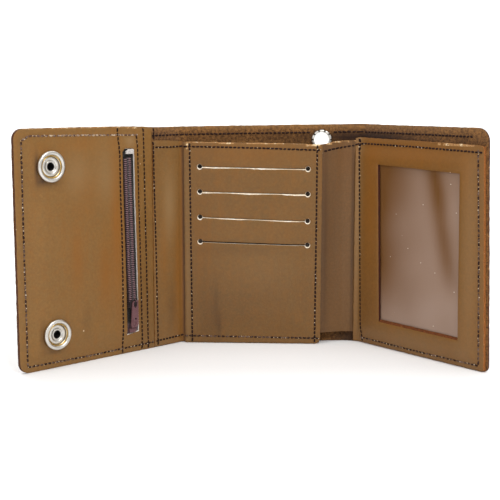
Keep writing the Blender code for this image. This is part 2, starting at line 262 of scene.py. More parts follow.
def slab(us, zs, thickness):
    """A closed grid slab. x is u, y is minus h and z is z, with the back at h 0."""
    nu, nz = len(us), len(zs)
    grid = np.array([(u, z) for u in us for z in zs])
    back = np.column_stack((grid[:, 0], np.zeros(len(grid)), grid[:, 1]))
    front = back - (0, thickness, 0)
    count = nu * nz
    faces = []
    for i in range(nu - 1):
        for j in range(nz - 1):
            a, b, c, d = i * nz + j, (i + 1) * nz + j, (i + 1) * nz + j + 1, i * nz + j + 1
            faces.append((d, c, b, a))
            faces.append((a + count, b + count, c + count, d + count))
    rim = [i * nz for i in range(nu)] + [(nu - 1) * nz + j for j in range(1, nz)]
    rim += [i * nz + nz - 1 for i in range(nu - 2, -1, -1)] + list(range(nz - 2, 0, -1))
    for a, b in zip(rim, rim[1:] + rim[:1]):
        faces.append((a, b, b + count, a + count))
    return np.vstack((back, front)), faces


def new_object(name, verts, faces):
    data = bpy.data.meshes.new(name)
    data.from_pydata([tuple(v) for v in verts], [], faces)
    data.update()
    obj = bpy.data.objects.new(name, data)
    bpy.context.scene.collection.objects.link(obj)
    return obj


def fix_normals(obj):
    mesh = bmesh.new()
    mesh.from_mesh(obj.data)
    bmesh.ops.recalc_face_normals(mesh, faces=mesh.faces)
    mesh.to_mesh(obj.data)
    mesh.free()


def store(data, name, values):
    """Keeps one number or one vector for each vertex under a name, for the materials."""
    values = np.asarray(values, np.float32)
    kind, field = ("FLOAT_VECTOR", "vector") if values.ndim == 2 else ("FLOAT", "value")
    made = data.attributes.get(name) or data.attributes.new(name, kind, "POINT")
    made.data.foreach_set(field, values.ravel())


def move(obj, points):
    obj.data.vertices.foreach_set("co", points.astype(np.float32).ravel())
    obj.data.update()


def prism(back, front, h0, h1):
    """A cutter between an outline at the back and one of as many points at the front."""
    n = len(back)
    verts = [(u, -h0, z) for u, z in back] + [(u, -h1, z) for u, z in front]
    faces = [tuple(range(n)), tuple(range(2 * n - 1, n - 1, -1))]
    faces += [(i, i + n, (i + 1) % n + n, (i + 1) % n) for i in range(n)]
    return verts, faces


def cutter(parts):
    verts, faces = [], []
    for v, f in parts:
        faces += [tuple(i + len(verts) for i in face) for face in f]
        verts += v
    obj = new_object("cutter", verts, faces)
    fix_normals(obj)
    return obj


def cut(obj, parts, operation="DIFFERENCE"):
    tool = cutter(parts)
    made = obj.modifiers.new("cut", "BOOLEAN")
    made.operation, made.object, made.solver = operation, tool, "EXACT"
    bpy.context.view_layer.update()
    result = bpy.data.meshes.new_from_object(obj.evaluated_get(bpy.context.evaluated_depsgraph_get()))
    obj.modifiers.clear()
    obj.data = result
    bpy.data.objects.remove(tool)


def coordinates(data):
    co = np.zeros(len(data.vertices) * 3)
    data.vertices.foreach_get("co", co)
    return co.reshape(-1, 3)


def shared_side(a, b, joins):
    """Whether a side of an outline runs along an edge that the sheet shares with the next one."""
    return any(abs(a[0] - u) < 0.01 and abs(b[0] - u) < 0.01 for u in joins)


def outline_distance(points, outline, joins=()):
    """Distance from (u, z) points to the nearest side of an outline."""
    nearest = np.full(len(points), 1e9)
    for (u0, z0), (u1, z1) in zip(outline, outline[1:] + outline[:1]):
        if shared_side((u0, z0), (u1, z1), joins):
            continue
        du, dz = u1 - u0, z1 - z0
        length = du * du + dz * dz or 1e-9
        t = np.clip(((points[:, 0] - u0) * du + (points[:, 1] - z0) * dz) / length, 0, 1)
        nearest = np.minimum(nearest, np.hypot(points[:, 0] - u0 - t * du, points[:, 1] - z0 - t * dz))
    return nearest


def wobbly(points, amount, step=1.6, seed=1, joins=()):
    """An outline with points every step along it, each a little off the line, as cut by hand."""
    rng = random.Random(seed)
    made = []
    for (u0, z0), (u1, z1) in zip(points, points[1:] + points[:1]):
        length = math.hypot(u1 - u0, z1 - z0)
        count = max(1, int(length / step))
        reach = 0.0 if shared_side((u0, z0), (u1, z1), joins) else amount
        for i in range(count):
            t = i / count
            off = rng.uniform(-reach, reach) if i else 0.0
            made.append((u0 + (u1 - u0) * t - (z1 - z0) / length * off,
                         z0 + (z1 - z0) * t + (u1 - u0) / length * off))
    return made


def arc(cu, cz, radius, start, end, count):
    return [(cu + radius * math.cos(math.radians(start + (end - start) * i / count)),
             cz + radius * math.sin(math.radians(start + (end - start) * i / count)))
            for i in range(count + 1)]


def ring(cu, cz, radius, count=20):
    return arc(cu, cz, radius, 0, 360, count)[:-1]


def rounded(u0, u1, z0, tops, radii=(0, 0, 0, 0)):
    """Outline from u0 to u1 up to the top line, a list of (u, z), with corner radii at bottom left,
    bottom right, top right and top left."""
    bl, br, tr, tl = radii
    points = arc(u0 + bl, z0 + bl, bl, 180, 270, 6) if bl else [(u0, z0)]
    points += arc(u1 - br, z0 + br, br, 270, 360, 6) if br else [(u1, z0)]
    top_right, top_left = tops[-1][1], tops[0][1]
    points += arc(u1 - tr, top_right - tr, tr, 0, 90, 6) if tr else [(u1, top_right)]
    points += [p for p in reversed(tops[1:-1])]
    points += arc(u0 + tl, top_left - tl, tl, 90, 180, 6) if tl else [(u0, top_left)]
    return points


class Sheet:
    """A sheet of leather, cloth or film: cut flat, then raised to its height and folded."""

    def __init__(self, name, outline, thickness, back, step=1.5, lines=((), ()), wobble=0.12,
                 seed=1, roll=(0.3, 0.15), leaning=False, joins=()):
        self.name, self.thickness, self.back = name, thickness, back
        self.leaning, self.roll, self.joins = leaning, roll, joins
        self.outline = wobbly(outline, wobble, seed=seed, joins=joins)
        self.openings = []
        us, zs = [p[0] for p in outline], [p[1] for p in outline]
        edge = (0.45, 1.1)
        extra_u = [min(us) + e for e in edge] + [max(us) - e for e in edge] + list(lines[0])
        extra_z = [min(zs) + e for e in edge] + [max(zs) - e for e in edge] + list(lines[1])
        verts, faces = slab(steps(min(us) - 1, max(us) + 1, step, extra_u),
                            steps(min(zs) - 1, max(zs) + 1, step, extra_z), thickness)
        self.obj = new_object(name, verts, faces)
        cut(self.obj, [prism(self.outline, self.outline, -1, thickness + 1)], "INTERSECT")

    def open(self, parts):
        """Cuts openings, each a pair of outlines at the back and the front."""
        cut(self.obj, [prism(b, f, -0.001, self.thickness + 0.001) for b, f in parts])
        self.openings += [f for _, f in parts]
        return self

    def front(self, u, z):
        """Height of the front face, before leaning."""
        return self.back(u, z) + self.thickness

    def materials(self, front, back, edge, opening=None, side=None, worn=None, worn_spans=()):
        """Front, back and cut edges take their own materials, and so may the walls of openings, the
        walls of those that face right and the worn top rim between pairs of u."""
        data = self.obj.data
        data.materials.clear()
        for m in (front, back, edge, opening or edge, side or opening or edge, worn or edge):
            data.materials.append(m)
        normals = np.zeros(len(data.polygons) * 3)
        data.polygons.foreach_get("normal", normals)
        normals = normals.reshape(-1, 3)
        facing = normals[:, 1]
        centres = np.zeros(len(data.polygons) * 3)
        data.polygons.foreach_get("center", centres)
        centres = centres.reshape(-1, 3)[:, (0, 2)]
        index = np.where(facing < -0.8, 0, np.where(facing > 0.8, 1, 2))
        if self.openings:
            near = np.min([outline_distance(centres, o) for o in self.openings], axis=0)
            index = np.where((index == 2) & (near < outline_distance(centres, self.outline)), 3, index)
            index = np.where((index == 3) & (normals[:, 0] > 0.6), 4, index)
        top = sorted(p for p in self.outline if p[1] > 95)
        for u0, u1 in worn_spans:
            inner = (centres[:, 0] > max(u0, top[0][0] + 1.3)) & (centres[:, 0] < min(u1, top[-1][0] - 1.3))
            rim = centres[:, 1] > np.interp(centres[:, 0], *zip(*top)) - 0.55
            index = np.where((index == 0) & rim & inner, 5, index)
        data.polygons.foreach_set("material_index", index.astype(np.int32))
        return self

    def raised(self):
        """Flat (u, h, z) of the vertices on the raised sheet."""
        co = coordinates(self.obj.data)
        u, depth, z = co[:, 0], -co[:, 1] / self.thickness, co[:, 2]
        rim = outline_distance(co[:, (0, 2)], self.outline, self.joins)
        for opening in self.openings:
            rim = np.minimum(rim, outline_distance(co[:, (0, 2)], opening) + 0.15)
        fall = np.exp(-(rim / 0.55) ** 2)
        h = self.back(u, z) + depth * self.thickness
        h = h - np.where(depth > 0.5, self.roll[0], -self.roll[1]) * fall
        return np.column_stack((u, h, z))

    def finish(self, tints=(), smooth_angle=50):
        """Raises the sheet, keeps its flat place and its tints as attributes, and shades it smooth."""
        flat = self.raised()
        data = self.obj.data
        store(data, "flat", flat)
        for tint in ("warm", "shade", "pale"):
            value = sum((bump(flat[:, 0], flat[:, 2], s[1:]) for s in tints if s[0] == tint),
                        np.zeros(len(flat)))
            store(data, tint, np.clip(value, 0, 1))
        data.shade_smooth()
        data.set_sharp_from_angle(angle=math.radians(smooth_angle))
        self.flat = lean(flat) if self.leaning else flat
        return self

    def on(self, body, *nodes, slot=None):
        """Moves with one body and stands for CAD nodes."""
        move(self.obj, place_on(self.flat, body))
        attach(self.obj, body)
        return self.claim(nodes, slot)

    def across(self, crease, *nodes, slot=None):
        """Takes its bent shape across one crease, at rest, and stands for CAD nodes."""
        move(self.obj, place_across(self.flat, crease))
        start, end = zone_ends(crease)
        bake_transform(self.obj)
        return self.claim(nodes, slot)

    def claim(self, nodes, slot):
        if nodes:
            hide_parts(*nodes)
        return self


# ---------------------------------------------------------------- thread
THREAD = (0.47, 0.24)                 # half width and half height of a stitch
PITCH = 2.15
THREAD_SIDES, THREAD_RINGS = 7, 6


def walk(path):
    """Points every PITCH along a path of (u, z) points, stretched to end on its end."""
    lengths = [math.dist(a, b) for a, b in zip(path, path[1:])]
    count = max(1, round(sum(lengths) / PITCH))
    marks, made = np.cumsum([0] + lengths), []
    for i in range(count + 1):
        s = marks[-1] * i / count
        made.append((float(np.interp(s, marks, [p[0] for p in path])),
                     float(np.interp(s, marks, [p[1] for p in path]))))
    return made


class Seam:
    """Stitches along paths on a sheet, with bits of fluff at the needle holes."""

    def __init__(self, name, sheet, paths, fluff, seed):
        rng = random.Random(seed)
        self.verts, self.faces, self.kinds = [], [], []
        for path in paths:
            marks = walk(path)
            for a, b in zip(marks, marks[1:]):
                self.stitch(a, b, rng)
                if rng.random() < fluff:
                    self.tuft(b, rng)
        flat = np.array(self.verts)
        flat[:, 1] += sheet.front(flat[:, 0], flat[:, 2])
        self.obj = new_object(name, flat, self.faces)
        self.obj.data.polygons.foreach_set("material_index", np.array(self.kinds, np.int32))
        self.obj.data.shade_smooth()
        store(self.obj.data, "flat", flat)
        self.flat = lean(flat) if sheet.leaning else flat

    def stitch(self, a, b, rng):
        """Two plies twisted together, dipping into a needle hole at each end."""
        sides, rings = THREAD_SIDES, THREAD_RINGS
        along = np.array((b[0] - a[0], b[1] - a[1]))
        length = np.linalg.norm(along)
        along = along / length
        across = np.array((-along[1], along[0]))
        skew = rng.uniform(-0.16, 0.16)
        lift = rng.uniform(-0.04, 0.05)
        first = len(self.verts)
        gap = rng.uniform(0.08, 0.22)
        for i in range(rings):
            t = i / (rings - 1)
            s = gap + (length - 2 * gap) * t
            swell = 0.6 + 0.4 * math.sin(math.pi * (0.12 + 0.76 * t))
            rise = -0.16 + 0.3 * math.sin(math.pi * t) ** 0.6 + lift
            off = skew * (t - 0.5) * 2
            for j in range(sides):
                angle = math.tau * j / sides
                ply = 1 + 0.16 * math.cos(2 * (angle - 2.6 * math.pi * t))
                side = THREAD[0] * swell * ply * math.cos(angle) + off
                up = THREAD[1] * swell * ply * math.sin(angle) + rise
                p = np.array(a) + along * s + across * side
                self.verts.append((p[0], up, p[1]))
        for i in range(rings - 1):
            for j in range(sides):
                k = (j + 1) % sides
                self.faces.append((first + i * sides + j, first + i * sides + k,
                                   first + (i + 1) * sides + k, first + (i + 1) * sides + j))
                self.kinds.append(0)
        self.faces.append(tuple(first + j for j in reversed(range(sides))))
        self.faces.append(tuple(first + (rings - 1) * sides + j for j in range(sides)))
        self.kinds += [0, 0]

    def tuft(self, at, rng):
        """A small lump of pale fibre pulled out of a needle hole."""
        size = rng.uniform(0.16, 0.36)
        cu, cz = at[0] + rng.uniform(-0.3, 0.3), at[1] + rng.uniform(-0.35, 0.35)
        first = len(self.verts)
        tips = [(1, 0, 0), (0, 0, 1), (-1, 0, 0), (0, 0, -1), (0, 1, 0), (0, -1, 0)]
        for x, y, z in tips:
            s = size * rng.uniform(0.7, 1.3)
            self.verts.append((cu + x * s, 0.06 + y * s * 0.7, cz + z * s))
        for j in range(4):
            k = (j + 1) % 4
            self.faces += [(first + j, first + k, first + 4), (first + k, first + j, first + 5)]
            self.kinds += [1, 1]

    def materials(self, *kinds):
        for m in kinds:
            self.obj.data.materials.append(m)
        return self

    on, across, claim = Sheet.on, Sheet.across, Sheet.claim


# ---------------------------------------------------------------- materials
def srgb(r, g, b):
    """Linear colour of an sRGB colour from 0 to 255."""
    def channel(c):
        c = c / 255
        return c / 12.92 if c <= 0.04045 else ((c + 0.055) / 1.055) ** 2.4
    return (channel(r), channel(g), channel(b), 1.0)


class Surface:
    """A node material round a Principled shader."""

    def __init__(self, name, roughness=0.5, metallic=0.0, specular=0.5, **constant):
        self.material = bpy.data.materials.new(name)
        self.material.use_nodes = True
        self.tree = self.material.node_tree
        self.shader = self.tree.nodes["Principled BSDF"]
        self.shader.inputs["Roughness"].default_value = roughness
        self.shader.inputs["Metallic"].default_value = metallic
        self.shader.inputs["Specular IOR Level"].default_value = specular
        for key, value in constant.items():
            self.shader.inputs[key.replace("_", " ").title()].default_value = value
        self.height = None

    def plug(self, pairs):
        """Links or sets each (socket, value)."""
        for socket, value in pairs:
            if isinstance(value, bpy.types.NodeSocket):
                self.tree.links.new(value, socket)
            else:
                socket.default_value = value

    def node(self, kind, **inputs):
        made = self.tree.nodes.new(kind)
        self.plug((made.inputs[key], value) for key, value in inputs.items())
        return made

    def place(self, attribute=None, scale=(1.0, 1.0, 1.0)):
        """Where on the piece: millimetres on the flat layout, or in the row frame."""
        if attribute:
            source = self.tree.nodes.new("ShaderNodeAttribute")
            source.attribute_name = attribute
            vector, factor = source.outputs["Vector"], 1.0
        else:
            vector, factor = self.tree.nodes.new("ShaderNodeTexCoord").outputs["Object"], 1000.0
        mapping = self.node("ShaderNodeMapping", Vector=vector, Scale=tuple(s * factor for s in scale))
        return mapping.outputs["Vector"]

    def noise(self, where, size, detail=3.0, roughness=0.55, distortion=0.0):
        made = self.node("ShaderNodeTexNoise", Vector=where, Scale=1.0 / size, Detail=detail,
                         Roughness=roughness, Distortion=distortion)
        return made.outputs["Fac"]

    def ramp(self, value, low, high, a=0.0, b=1.0):
        made = self.node("ShaderNodeMapRange", Value=value)
        made.clamp = True
        for key, number in (("From Min", low), ("From Max", high), ("To Min", a), ("To Max", b)):
            made.inputs[key].default_value = number
        return made.outputs["Result"]

    def math(self, operation, a, b=0.0):
        made = self.tree.nodes.new("ShaderNodeMath")
        made.operation = operation
        self.plug(zip(made.inputs, (a, b)))
        return made.outputs[0]

    def attribute(self, name):
        made = self.tree.nodes.new("ShaderNodeAttribute")
        made.attribute_name = name
        return made.outputs["Fac"]

    def mix(self, share, a, b):
        made = self.tree.nodes.new("ShaderNodeMix")
        made.data_type = "RGBA"
        self.plug(((made.inputs[0], share), (made.inputs[6], a), (made.inputs[7], b)))
        return made.outputs[2]

    def specks(self, colour, where, spacing, size, speck, share=0.45):
        """A colour with small round specks, in some cells of a grid of that spacing."""
        cells = self.node("ShaderNodeTexVoronoi", Vector=where, Scale=1.0 / spacing)
        spot = self.ramp(cells.outputs["Distance"], size, size + 0.02, 1.0, 0.0)
        chosen = self.node("ShaderNodeSeparateColor", Color=cells.outputs["Color"])
        lit = self.ramp(chosen.outputs[0], 1 - share, 1 - share + 0.02)
        return self.mix(self.math("MULTIPLY", spot, lit), colour, speck)

    def set(self, name, value):
        self.tree.links.new(value, self.shader.inputs[name])

    def bump(self, height, distance, strength=1.0):
        """Adds a height, 0 to 1, of that many millimetres to the surface."""
        made = self.node("ShaderNodeBump", Height=height, Strength=strength, Distance=distance * MM)
        if self.height is not None:
            self.tree.links.new(self.height, made.inputs["Normal"])
        self.height = made.outputs["Normal"]
        self.tree.links.new(self.height, self.shader.inputs["Normal"])


def leather(name, base, warm=(134, 82, 22), shade=(66, 44, 26), pale=(140, 110, 72), gloss=0.42):
    """Smooth finished leather: fine grain, cloudy dye, pulled-up streaks and small scuffs, with painted shade
    and, in places, painted highlights laid on by its tint attributes.
    """
    s = Surface(name, roughness=gloss, specular=0.25, coat_weight=0.04, coat_roughness=0.25)
    at = s.place("flat")
    cloud = s.noise(at, 24.0, 3.0)
    mottle = s.noise(at, 2.4, 5.0, 0.6)
    speckle = s.noise(at, 1.1, 3.0, 0.6)
    colour = s.mix(s.ramp(cloud, 0.3, 0.7), tint_of(base, 0.95), tint_of(base, 1.05))
    colour = s.mix(s.ramp(mottle, 0.35, 0.7, 0.0, 0.3), colour, srgb(*warm))
    colour = s.mix(s.ramp(speckle, 0.42, 0.66, 0.0, 0.34), colour, tint_of(base, 0.68))
    colour = s.mix(s.ramp(speckle, 0.42, 0.24, 0.0, 0.3), colour, tint_of(base, 1.35))
    streak = s.noise(s.place("flat", (1.0, 1.0, 0.08)), 4.0, 4.0)
    colour = s.mix(s.ramp(streak, 0.52, 0.8, 0.0, 0.3), colour, srgb(*warm))
    # Tint attributes: warm is dye, and also warms a painted crease shadow; shade is painted shade; pale is
    # paler leather and, in places, a painted highlight.
    colour = s.mix(s.attribute("warm"), colour, srgb(*warm))
    colour = s.mix(s.attribute("shade"), colour, srgb(*shade))
    colour = s.mix(s.attribute("pale"), colour, srgb(*pale))
    colour = s.specks(colour, at, 9.0, 0.03, srgb(206, 180, 146), 0.35)
    s.set("Base Color", colour)
    pores = s.noise(at, 0.55, 4.0, 0.65)
    cells = s.node("ShaderNodeTexVoronoi", Vector=at, Scale=1.0 / 1.3)
    cells.feature = "DISTANCE_TO_EDGE"
    s.set("Roughness", s.ramp(s.noise(at, 6.0, 4.0), 0.3, 0.75, gloss - 0.06, gloss + 0.12))
    s.bump(cloud, 0.5, 0.5)
    s.bump(s.ramp(cells.outputs["Distance"], 0.0, 0.25), 0.022, 0.6)
    s.bump(pores, 0.03, 0.7)
    return s.material


def tint_of(colour, factor):
    linear = srgb(*colour)
    return tuple(min(1.0, c * factor) for c in linear[:3]) + (1.0,)


def suede(name, light, dark):
    """The brushed flesh side of the hide: short fibres in clumps, rubbed light and dark, with painted shade
    and a painted lit top edge from its tint attributes.
    """
    s = Surface(name, roughness=0.95, specular=0.12, sheen_weight=0.12, sheen_roughness=0.6)
    at = s.place("flat")
    clump = s.noise(at, 1.5, 5.0, 0.65)
    fibre = s.noise(s.place("flat", (1.0, 1.0, 1.9)), 0.42, 4.0, 0.7, 0.6)
    patch = s.noise(at, 16.0, 2.0)
    share = s.math("ADD", s.ramp(clump, 0.4, 0.62, 0.0, 0.6), s.ramp(fibre, 0.38, 0.62, 0.0, 0.5))
    share = s.math("MULTIPLY", share, s.ramp(patch, 0.3, 0.7, 0.65, 1.1))
    colour = s.mix(share, srgb(*dark), srgb(*light))
    # painted shade, then painted light along the top edge
    colour = s.mix(s.attribute("shade"), colour, srgb(44, 26, 16))
    colour = s.mix(s.attribute("pale"), colour, srgb(150, 112, 70))
    s.set("Base Color", colour)
    s.bump(clump, 0.35, 0.8)
    s.bump(fibre, 0.22, 0.9)
    return s.material


def cut_edge(name, main, dark, pale, pale_share):
    """A cut edge of leather: packed fibre, dye that has run in, and pale bare spots."""
    s = Surface(name, roughness=0.85, specular=0.2)
    at = s.place("flat")
    layers = s.noise(s.place("flat", (1.0, 3.0, 1.0)), 0.7, 5.0, 0.7)
    spots = s.noise(at, 2.2, 4.0, 0.6)
    colour = s.mix(s.ramp(layers, 0.35, 0.65), srgb(*dark), srgb(*main))
    colour = s.mix(s.ramp(spots, 0.72 - pale_share * 0.6, 0.85 - pale_share * 0.6), colour, srgb(*pale))
    s.set("Base Color", colour)
    s.bump(layers, 0.2, 0.9)
    return s.material


def woven(name, colour, thread=0.35, dark=0.5):
    """Plain weave, with a row of threads each way, taken to near black where the shade attribute paints
    shade.
    """
    s = Surface(name, roughness=0.85, specular=0.2, sheen_weight=0.2, sheen_roughness=0.5)
    at = s.place("flat")
    warp = s.node("ShaderNodeTexWave", Vector=at, Scale=0.5 / thread, Distortion=0.4, Detail=1.0)
    warp.bands_direction = "X"
    weft = s.node("ShaderNodeTexWave", Vector=at, Scale=0.5 / thread, Distortion=0.4, Detail=1.0)
    weft.bands_direction = "Z"
    both = s.math("MAXIMUM", warp.outputs["Fac"], weft.outputs["Fac"])
    fuzz = s.noise(at, 0.8, 4.0)
    share = s.math("MULTIPLY", both, s.ramp(fuzz, 0.2, 0.8, 0.7, 1.1))
    cloth = s.mix(share, tint_of(colour, dark), tint_of(colour, 1.15))
    # painted shade from the shade attribute
    s.set("Base Color", s.mix(s.attribute("shade"), cloth, srgb(18, 11, 11)))
    s.bump(both, 0.12, 0.8)
    return s.material


def thread_material(name, colour, light, share):
    s = Surface(name, roughness=0.75, specular=0.12)
    at = s.place("flat")
    fibre = s.noise(at, 0.3, 3.0, 0.7)
    wear = s.noise(at, 2.2, 3.0)
    base = s.mix(s.ramp(fibre, 0.3, 0.7), tint_of(colour, 0.7), tint_of(colour, 1.2))
    s.set("Base Color", s.mix(s.ramp(wear, 0.45, 0.65, 0.0, share), base, srgb(*light)))
    s.bump(fibre, 0.06, 0.8)
    return s.material


def metal(name, colour, roughness, tarnish):
    """Plated metal with handling marks, dulled in places."""
    s = Surface(name, roughness=roughness, metallic=1.0)
    at = s.place()
    dull = s.noise(at, 3.0, 5.0, 0.6)
    fine = s.noise(at, 0.4, 3.0)
    s.set("Base Color", s.mix(s.ramp(dull, 0.5, 0.8, 0.0, 0.6), srgb(*colour), srgb(*tarnish)))
    s.set("Roughness", s.ramp(dull, 0.3, 0.8, roughness, roughness + 0.16))
    s.bump(fine, 0.012, 0.6)
    return s.material


def nylon(name, low, high):
    """Coil of the zip, coloured by height: painted shade in its hollows and a painted highlight on the crowns
    of its loops.
    """
    s = Surface(name, roughness=0.36, specular=0.5)
    place = s.node("ShaderNodeSeparateXYZ", Vector=s.place("flat"))
    crown = s.ramp(place.outputs["Y"], 4.05, 4.4)
    s.set("Base Color", s.mix(crown, srgb(*low), srgb(*high)))
    s.bump(s.noise(s.place("flat"), 0.4, 3.0), 0.02, 0.5)
    return s.material


def painted(name, colour, chip, roughness=0.42):
    """Enamelled metal, dark metal, or black metal that stands in for shade, with its coat worn in spots."""
    s = Surface(name, roughness=roughness, metallic=0.25, specular=0.5)
    at = s.place()
    wear = s.noise(at, 1.4, 5.0, 0.65)
    speck = s.noise(at, 0.5, 3.0)
    base = s.mix(s.ramp(speck, 0.3, 0.7), tint_of(colour, 0.85), tint_of(colour, 1.12))
    s.set("Base Color", s.mix(s.ramp(wear, 0.62, 0.75, 0.0, 0.7), base, srgb(*chip)))
    s.set("Roughness", s.ramp(wear, 0.3, 0.75, roughness, roughness + 0.2))
    s.bump(speck, 0.02, 0.6)
    return s.material


def vinyl(name):
    """Clear film, milky by its attribute, which paints both haze and the film's reflections, with specks of
    dust and slight ripples.
    """
    s = Surface(name, roughness=0.24, specular=0.4)
    at = s.place("flat")
    haze_and_reflection = s.attribute("haze_and_reflection")
    milk_and_reflection = s.mix(haze_and_reflection, srgb(108, 72, 38), srgb(152, 127, 111))
    s.set("Base Color", s.specks(milk_and_reflection, at, 4.2, 0.045, srgb(226, 214, 198), 0.35))
    s.set("Alpha", s.ramp(haze_and_reflection, 0.0, 1.0, 0.93, 0.98))
    s.bump(s.noise(at, 9.0, 2.0), 0.35, 0.6)
    s.bump(s.noise(s.place("flat", (1.0, 1.0, 0.05)), 0.8, 3.0), 0.004, 0.4)
    return s.material


def floor_material():
    s = Surface("floor_paper", roughness=0.8, specular=0.1)
    at = s.place()
    grain = s.noise(at, 1.5, 3.0)
    s.set("Base Color", s.mix(s.ramp(grain, 0.3, 0.7), (0.90, 0.90, 0.90, 1), (0.92, 0.92, 0.92, 1)))
    s.bump(grain, 0.02, 0.3)
    return s.material


LEATHER_FLAP = leather("leather_flap", (126, 92, 48))
LEATHER_STRIP = leather("leather_strip", (121, 89, 50))
LEATHER_CARD = leather("leather_card", (112, 81, 43))
# Divider leather in the gap and behind the identity panel: a darker copy of the strip's leather, painted
# shade for the recessed gap.
LEATHER_GAP_SHADED = leather("leather_gap_painted_shade", (106, 76, 45), warm=(112, 72, 32))
LEATHER_ID = leather("leather_id", (116, 80, 38))
LEATHER_OUT = leather("leather_outside", (110, 74, 34), gloss=0.36)
SUEDE = suede("suede_inside", (158, 110, 58), (48, 26, 12))
SUEDE_BACK = suede("suede_back", (150, 116, 78), (104, 74, 46))
EDGE_CREAM = cut_edge("edge_cream", (250, 243, 228), (228, 206, 174), (254, 250, 242), 0.4)
EDGE_WHITE = cut_edge("edge_white", (250, 246, 240), (226, 216, 204), (255, 252, 248), 0.4)
EDGE_RED = cut_edge("edge_red", (70, 28, 14), (36, 14, 9), (130, 74, 40), 0.1)
EDGE_RUST = cut_edge("edge_rust", (126, 70, 32), (60, 30, 16), (176, 120, 70), 0.12)
EDGE_TAN = cut_edge("edge_tan", (178, 112, 54), (116, 62, 26), (216, 176, 120), 0.12)
EDGE_DARK = cut_edge("edge_dark", (92, 50, 28), (48, 24, 16), (196, 150, 98), 0.14)
EDGE_PALE = cut_edge("edge_pale", (190, 148, 96), (120, 76, 42), (228, 206, 166), 0.3)
CLOTH_DARK = woven("lining_cloth", (52, 44, 38))
TAPE = woven("zip_tape", (92, 68, 74))
WHITE_TAPE = woven("zip_end_tape", (206, 200, 196), 0.3, 0.8)
THREADS = {"dark": thread_material("thread_dark", (34, 20, 17), (74, 50, 44), 0.3),
           "mixed": thread_material("thread_mixed", (46, 29, 25), (150, 122, 104), 0.5),
           "pale": thread_material("thread_pale", (92, 68, 58), (206, 184, 158), 0.75)}
FLUFF = cut_edge("needle_fluff", (232, 216, 188), (204, 180, 146), (245, 238, 222), 0.3)
NICKEL = metal("nickel", (214, 211, 205), 0.27, (186, 178, 164))
# Black for the snaps' bores and the grommet's washer: painted shade in hollows.
SHADE_BLACK = painted("nickel_black_painted_shade", (20, 16, 17), (34, 28, 28), 0.6)
BRASS = metal("brass", (212, 172, 84), 0.28, (150, 112, 50))
ZIP_METAL = painted("zip_enamel", (108, 72, 76), (134, 106, 106))
ZIP_DARK = painted("zip_body", (34, 24, 26), (60, 44, 44))
# dark and light ends of the coil's painted shade and painted highlight
COIL_MATERIAL = nylon("zip_nylon", (44, 26, 29), (138, 106, 110))
VINYL = vinyl("window_vinyl")

# ---------------------------------------------------------------- shell
SHELL_TOPS = [(FLAP_END, 114.1), (-60, 114.3), (-30, 114.2), (LEFT_OUTER, 113.6), (-8, 113.5),
              (20, 114.0), (45, 114.3), (72, 114.7), (88, 114.9), (110, 114.7), (140, 114.5),
              (RIGHT_END, 114.3)]


def slanted(outline):
    """An outline whose right edge runs out towards the bottom."""
    return [(u + right_run(z) if u > RIGHT_END - 40 else u, z) for u, z in outline]


def tops_between(tops, u0, u1):
    """The part of a top line from u0 to u1."""
    us, zs = zip(*tops)
    inner = [p for p in tops if u0 + 0.2 < p[0] < u1 - 0.2]
    return [(u0, float(np.interp(u0, us, zs))), *inner, (u1, float(np.interp(u1, us, zs)))]


def shell_back(u, z):
    return 0.10 * wave(u, z, 21, 34) * smooth(z, 1, 25)


SHELL_PARTS = {  # where each part of the shell starts and ends, and its corner radii
    "left_outer_crease": (FLAP_END, FLAP_JOIN, (5.0, 0, 0, 5.0)),
    "left_inner_crease": (FLAP_JOIN, CENTRE_JOIN, (0, 0, 0, 0)),
    "right_inner_crease": (CENTRE_JOIN, ID_JOIN, (0, 0, 0, 0)),
    "right_outer_crease": (ID_JOIN, RIGHT_END, (0, 3.0, 6.5, 0)),
}
SHELL_STANDS_FOR = {
    "left_outer_crease": ("shell_flap",), "left_inner_crease": ("shell_left_fold",),
    "right_inner_crease": ("shell_centre",), "right_outer_crease": ("shell_right_fold", "shell_id_panel"),
}
# Painted shade at the foot of the gap and in a band under the suede's top edge, deepest right of the grommet;
# painted light along the top edge.
SHELL_SHADE = [("shade", 88, 2, 9, 6, 0.9), ("shade", 70, 108.6, 120, 2.6, 0.4),
               ("shade", 97, 107.5, 26, 4.0, 0.8), ("pale", 40, 113.6, 160, 1.0, 0.35)]


def crease_lines(crease):
    """Finer grid lines through a soft crease."""
    u0, half = AXIS_U[crease], ZONE[crease] + 0.6
    return list(np.linspace(u0 - half, u0 + half, 13))


def build_shell():
    made = {}
    for seed, (crease, (u0, u1, radii)) in enumerate(SHELL_PARTS.items(), 31):
        outline = slanted(rounded(u0, u1, 0.0, tops_between(SHELL_TOPS, u0, u1), radii))
        sheet = Sheet(f"shell_{crease.replace('_crease', '')}", outline, SHELL, shell_back, step=2.0,
                      lines=(crease_lines(crease), ()), seed=seed, wobble=0.1, roll=(0.15, 0.45),
                      joins=(FLAP_JOIN, CENTRE_JOIN, ID_JOIN))
        holes = [(*snap, POST_HOLE) for snap in SNAPS] + [(*stud, RIVET_HOLE) for stud in STUDS]
        holes.append((GROMMET_U, GROMMET_Z, GROMMET_HOLE))
        holes = [(ring(*hole), ring(*hole)) for hole in holes if u0 < hole[0] < u1]
        if holes:
            sheet.open(holes)
        sheet.materials(SUEDE, LEATHER_OUT, EDGE_DARK)
        sheet.finish(SHELL_SHADE)
        sheet.across(crease, *SHELL_STANDS_FOR[crease], slot="suede")
        made[crease] = sheet
    return made


SHELLS = build_shell()

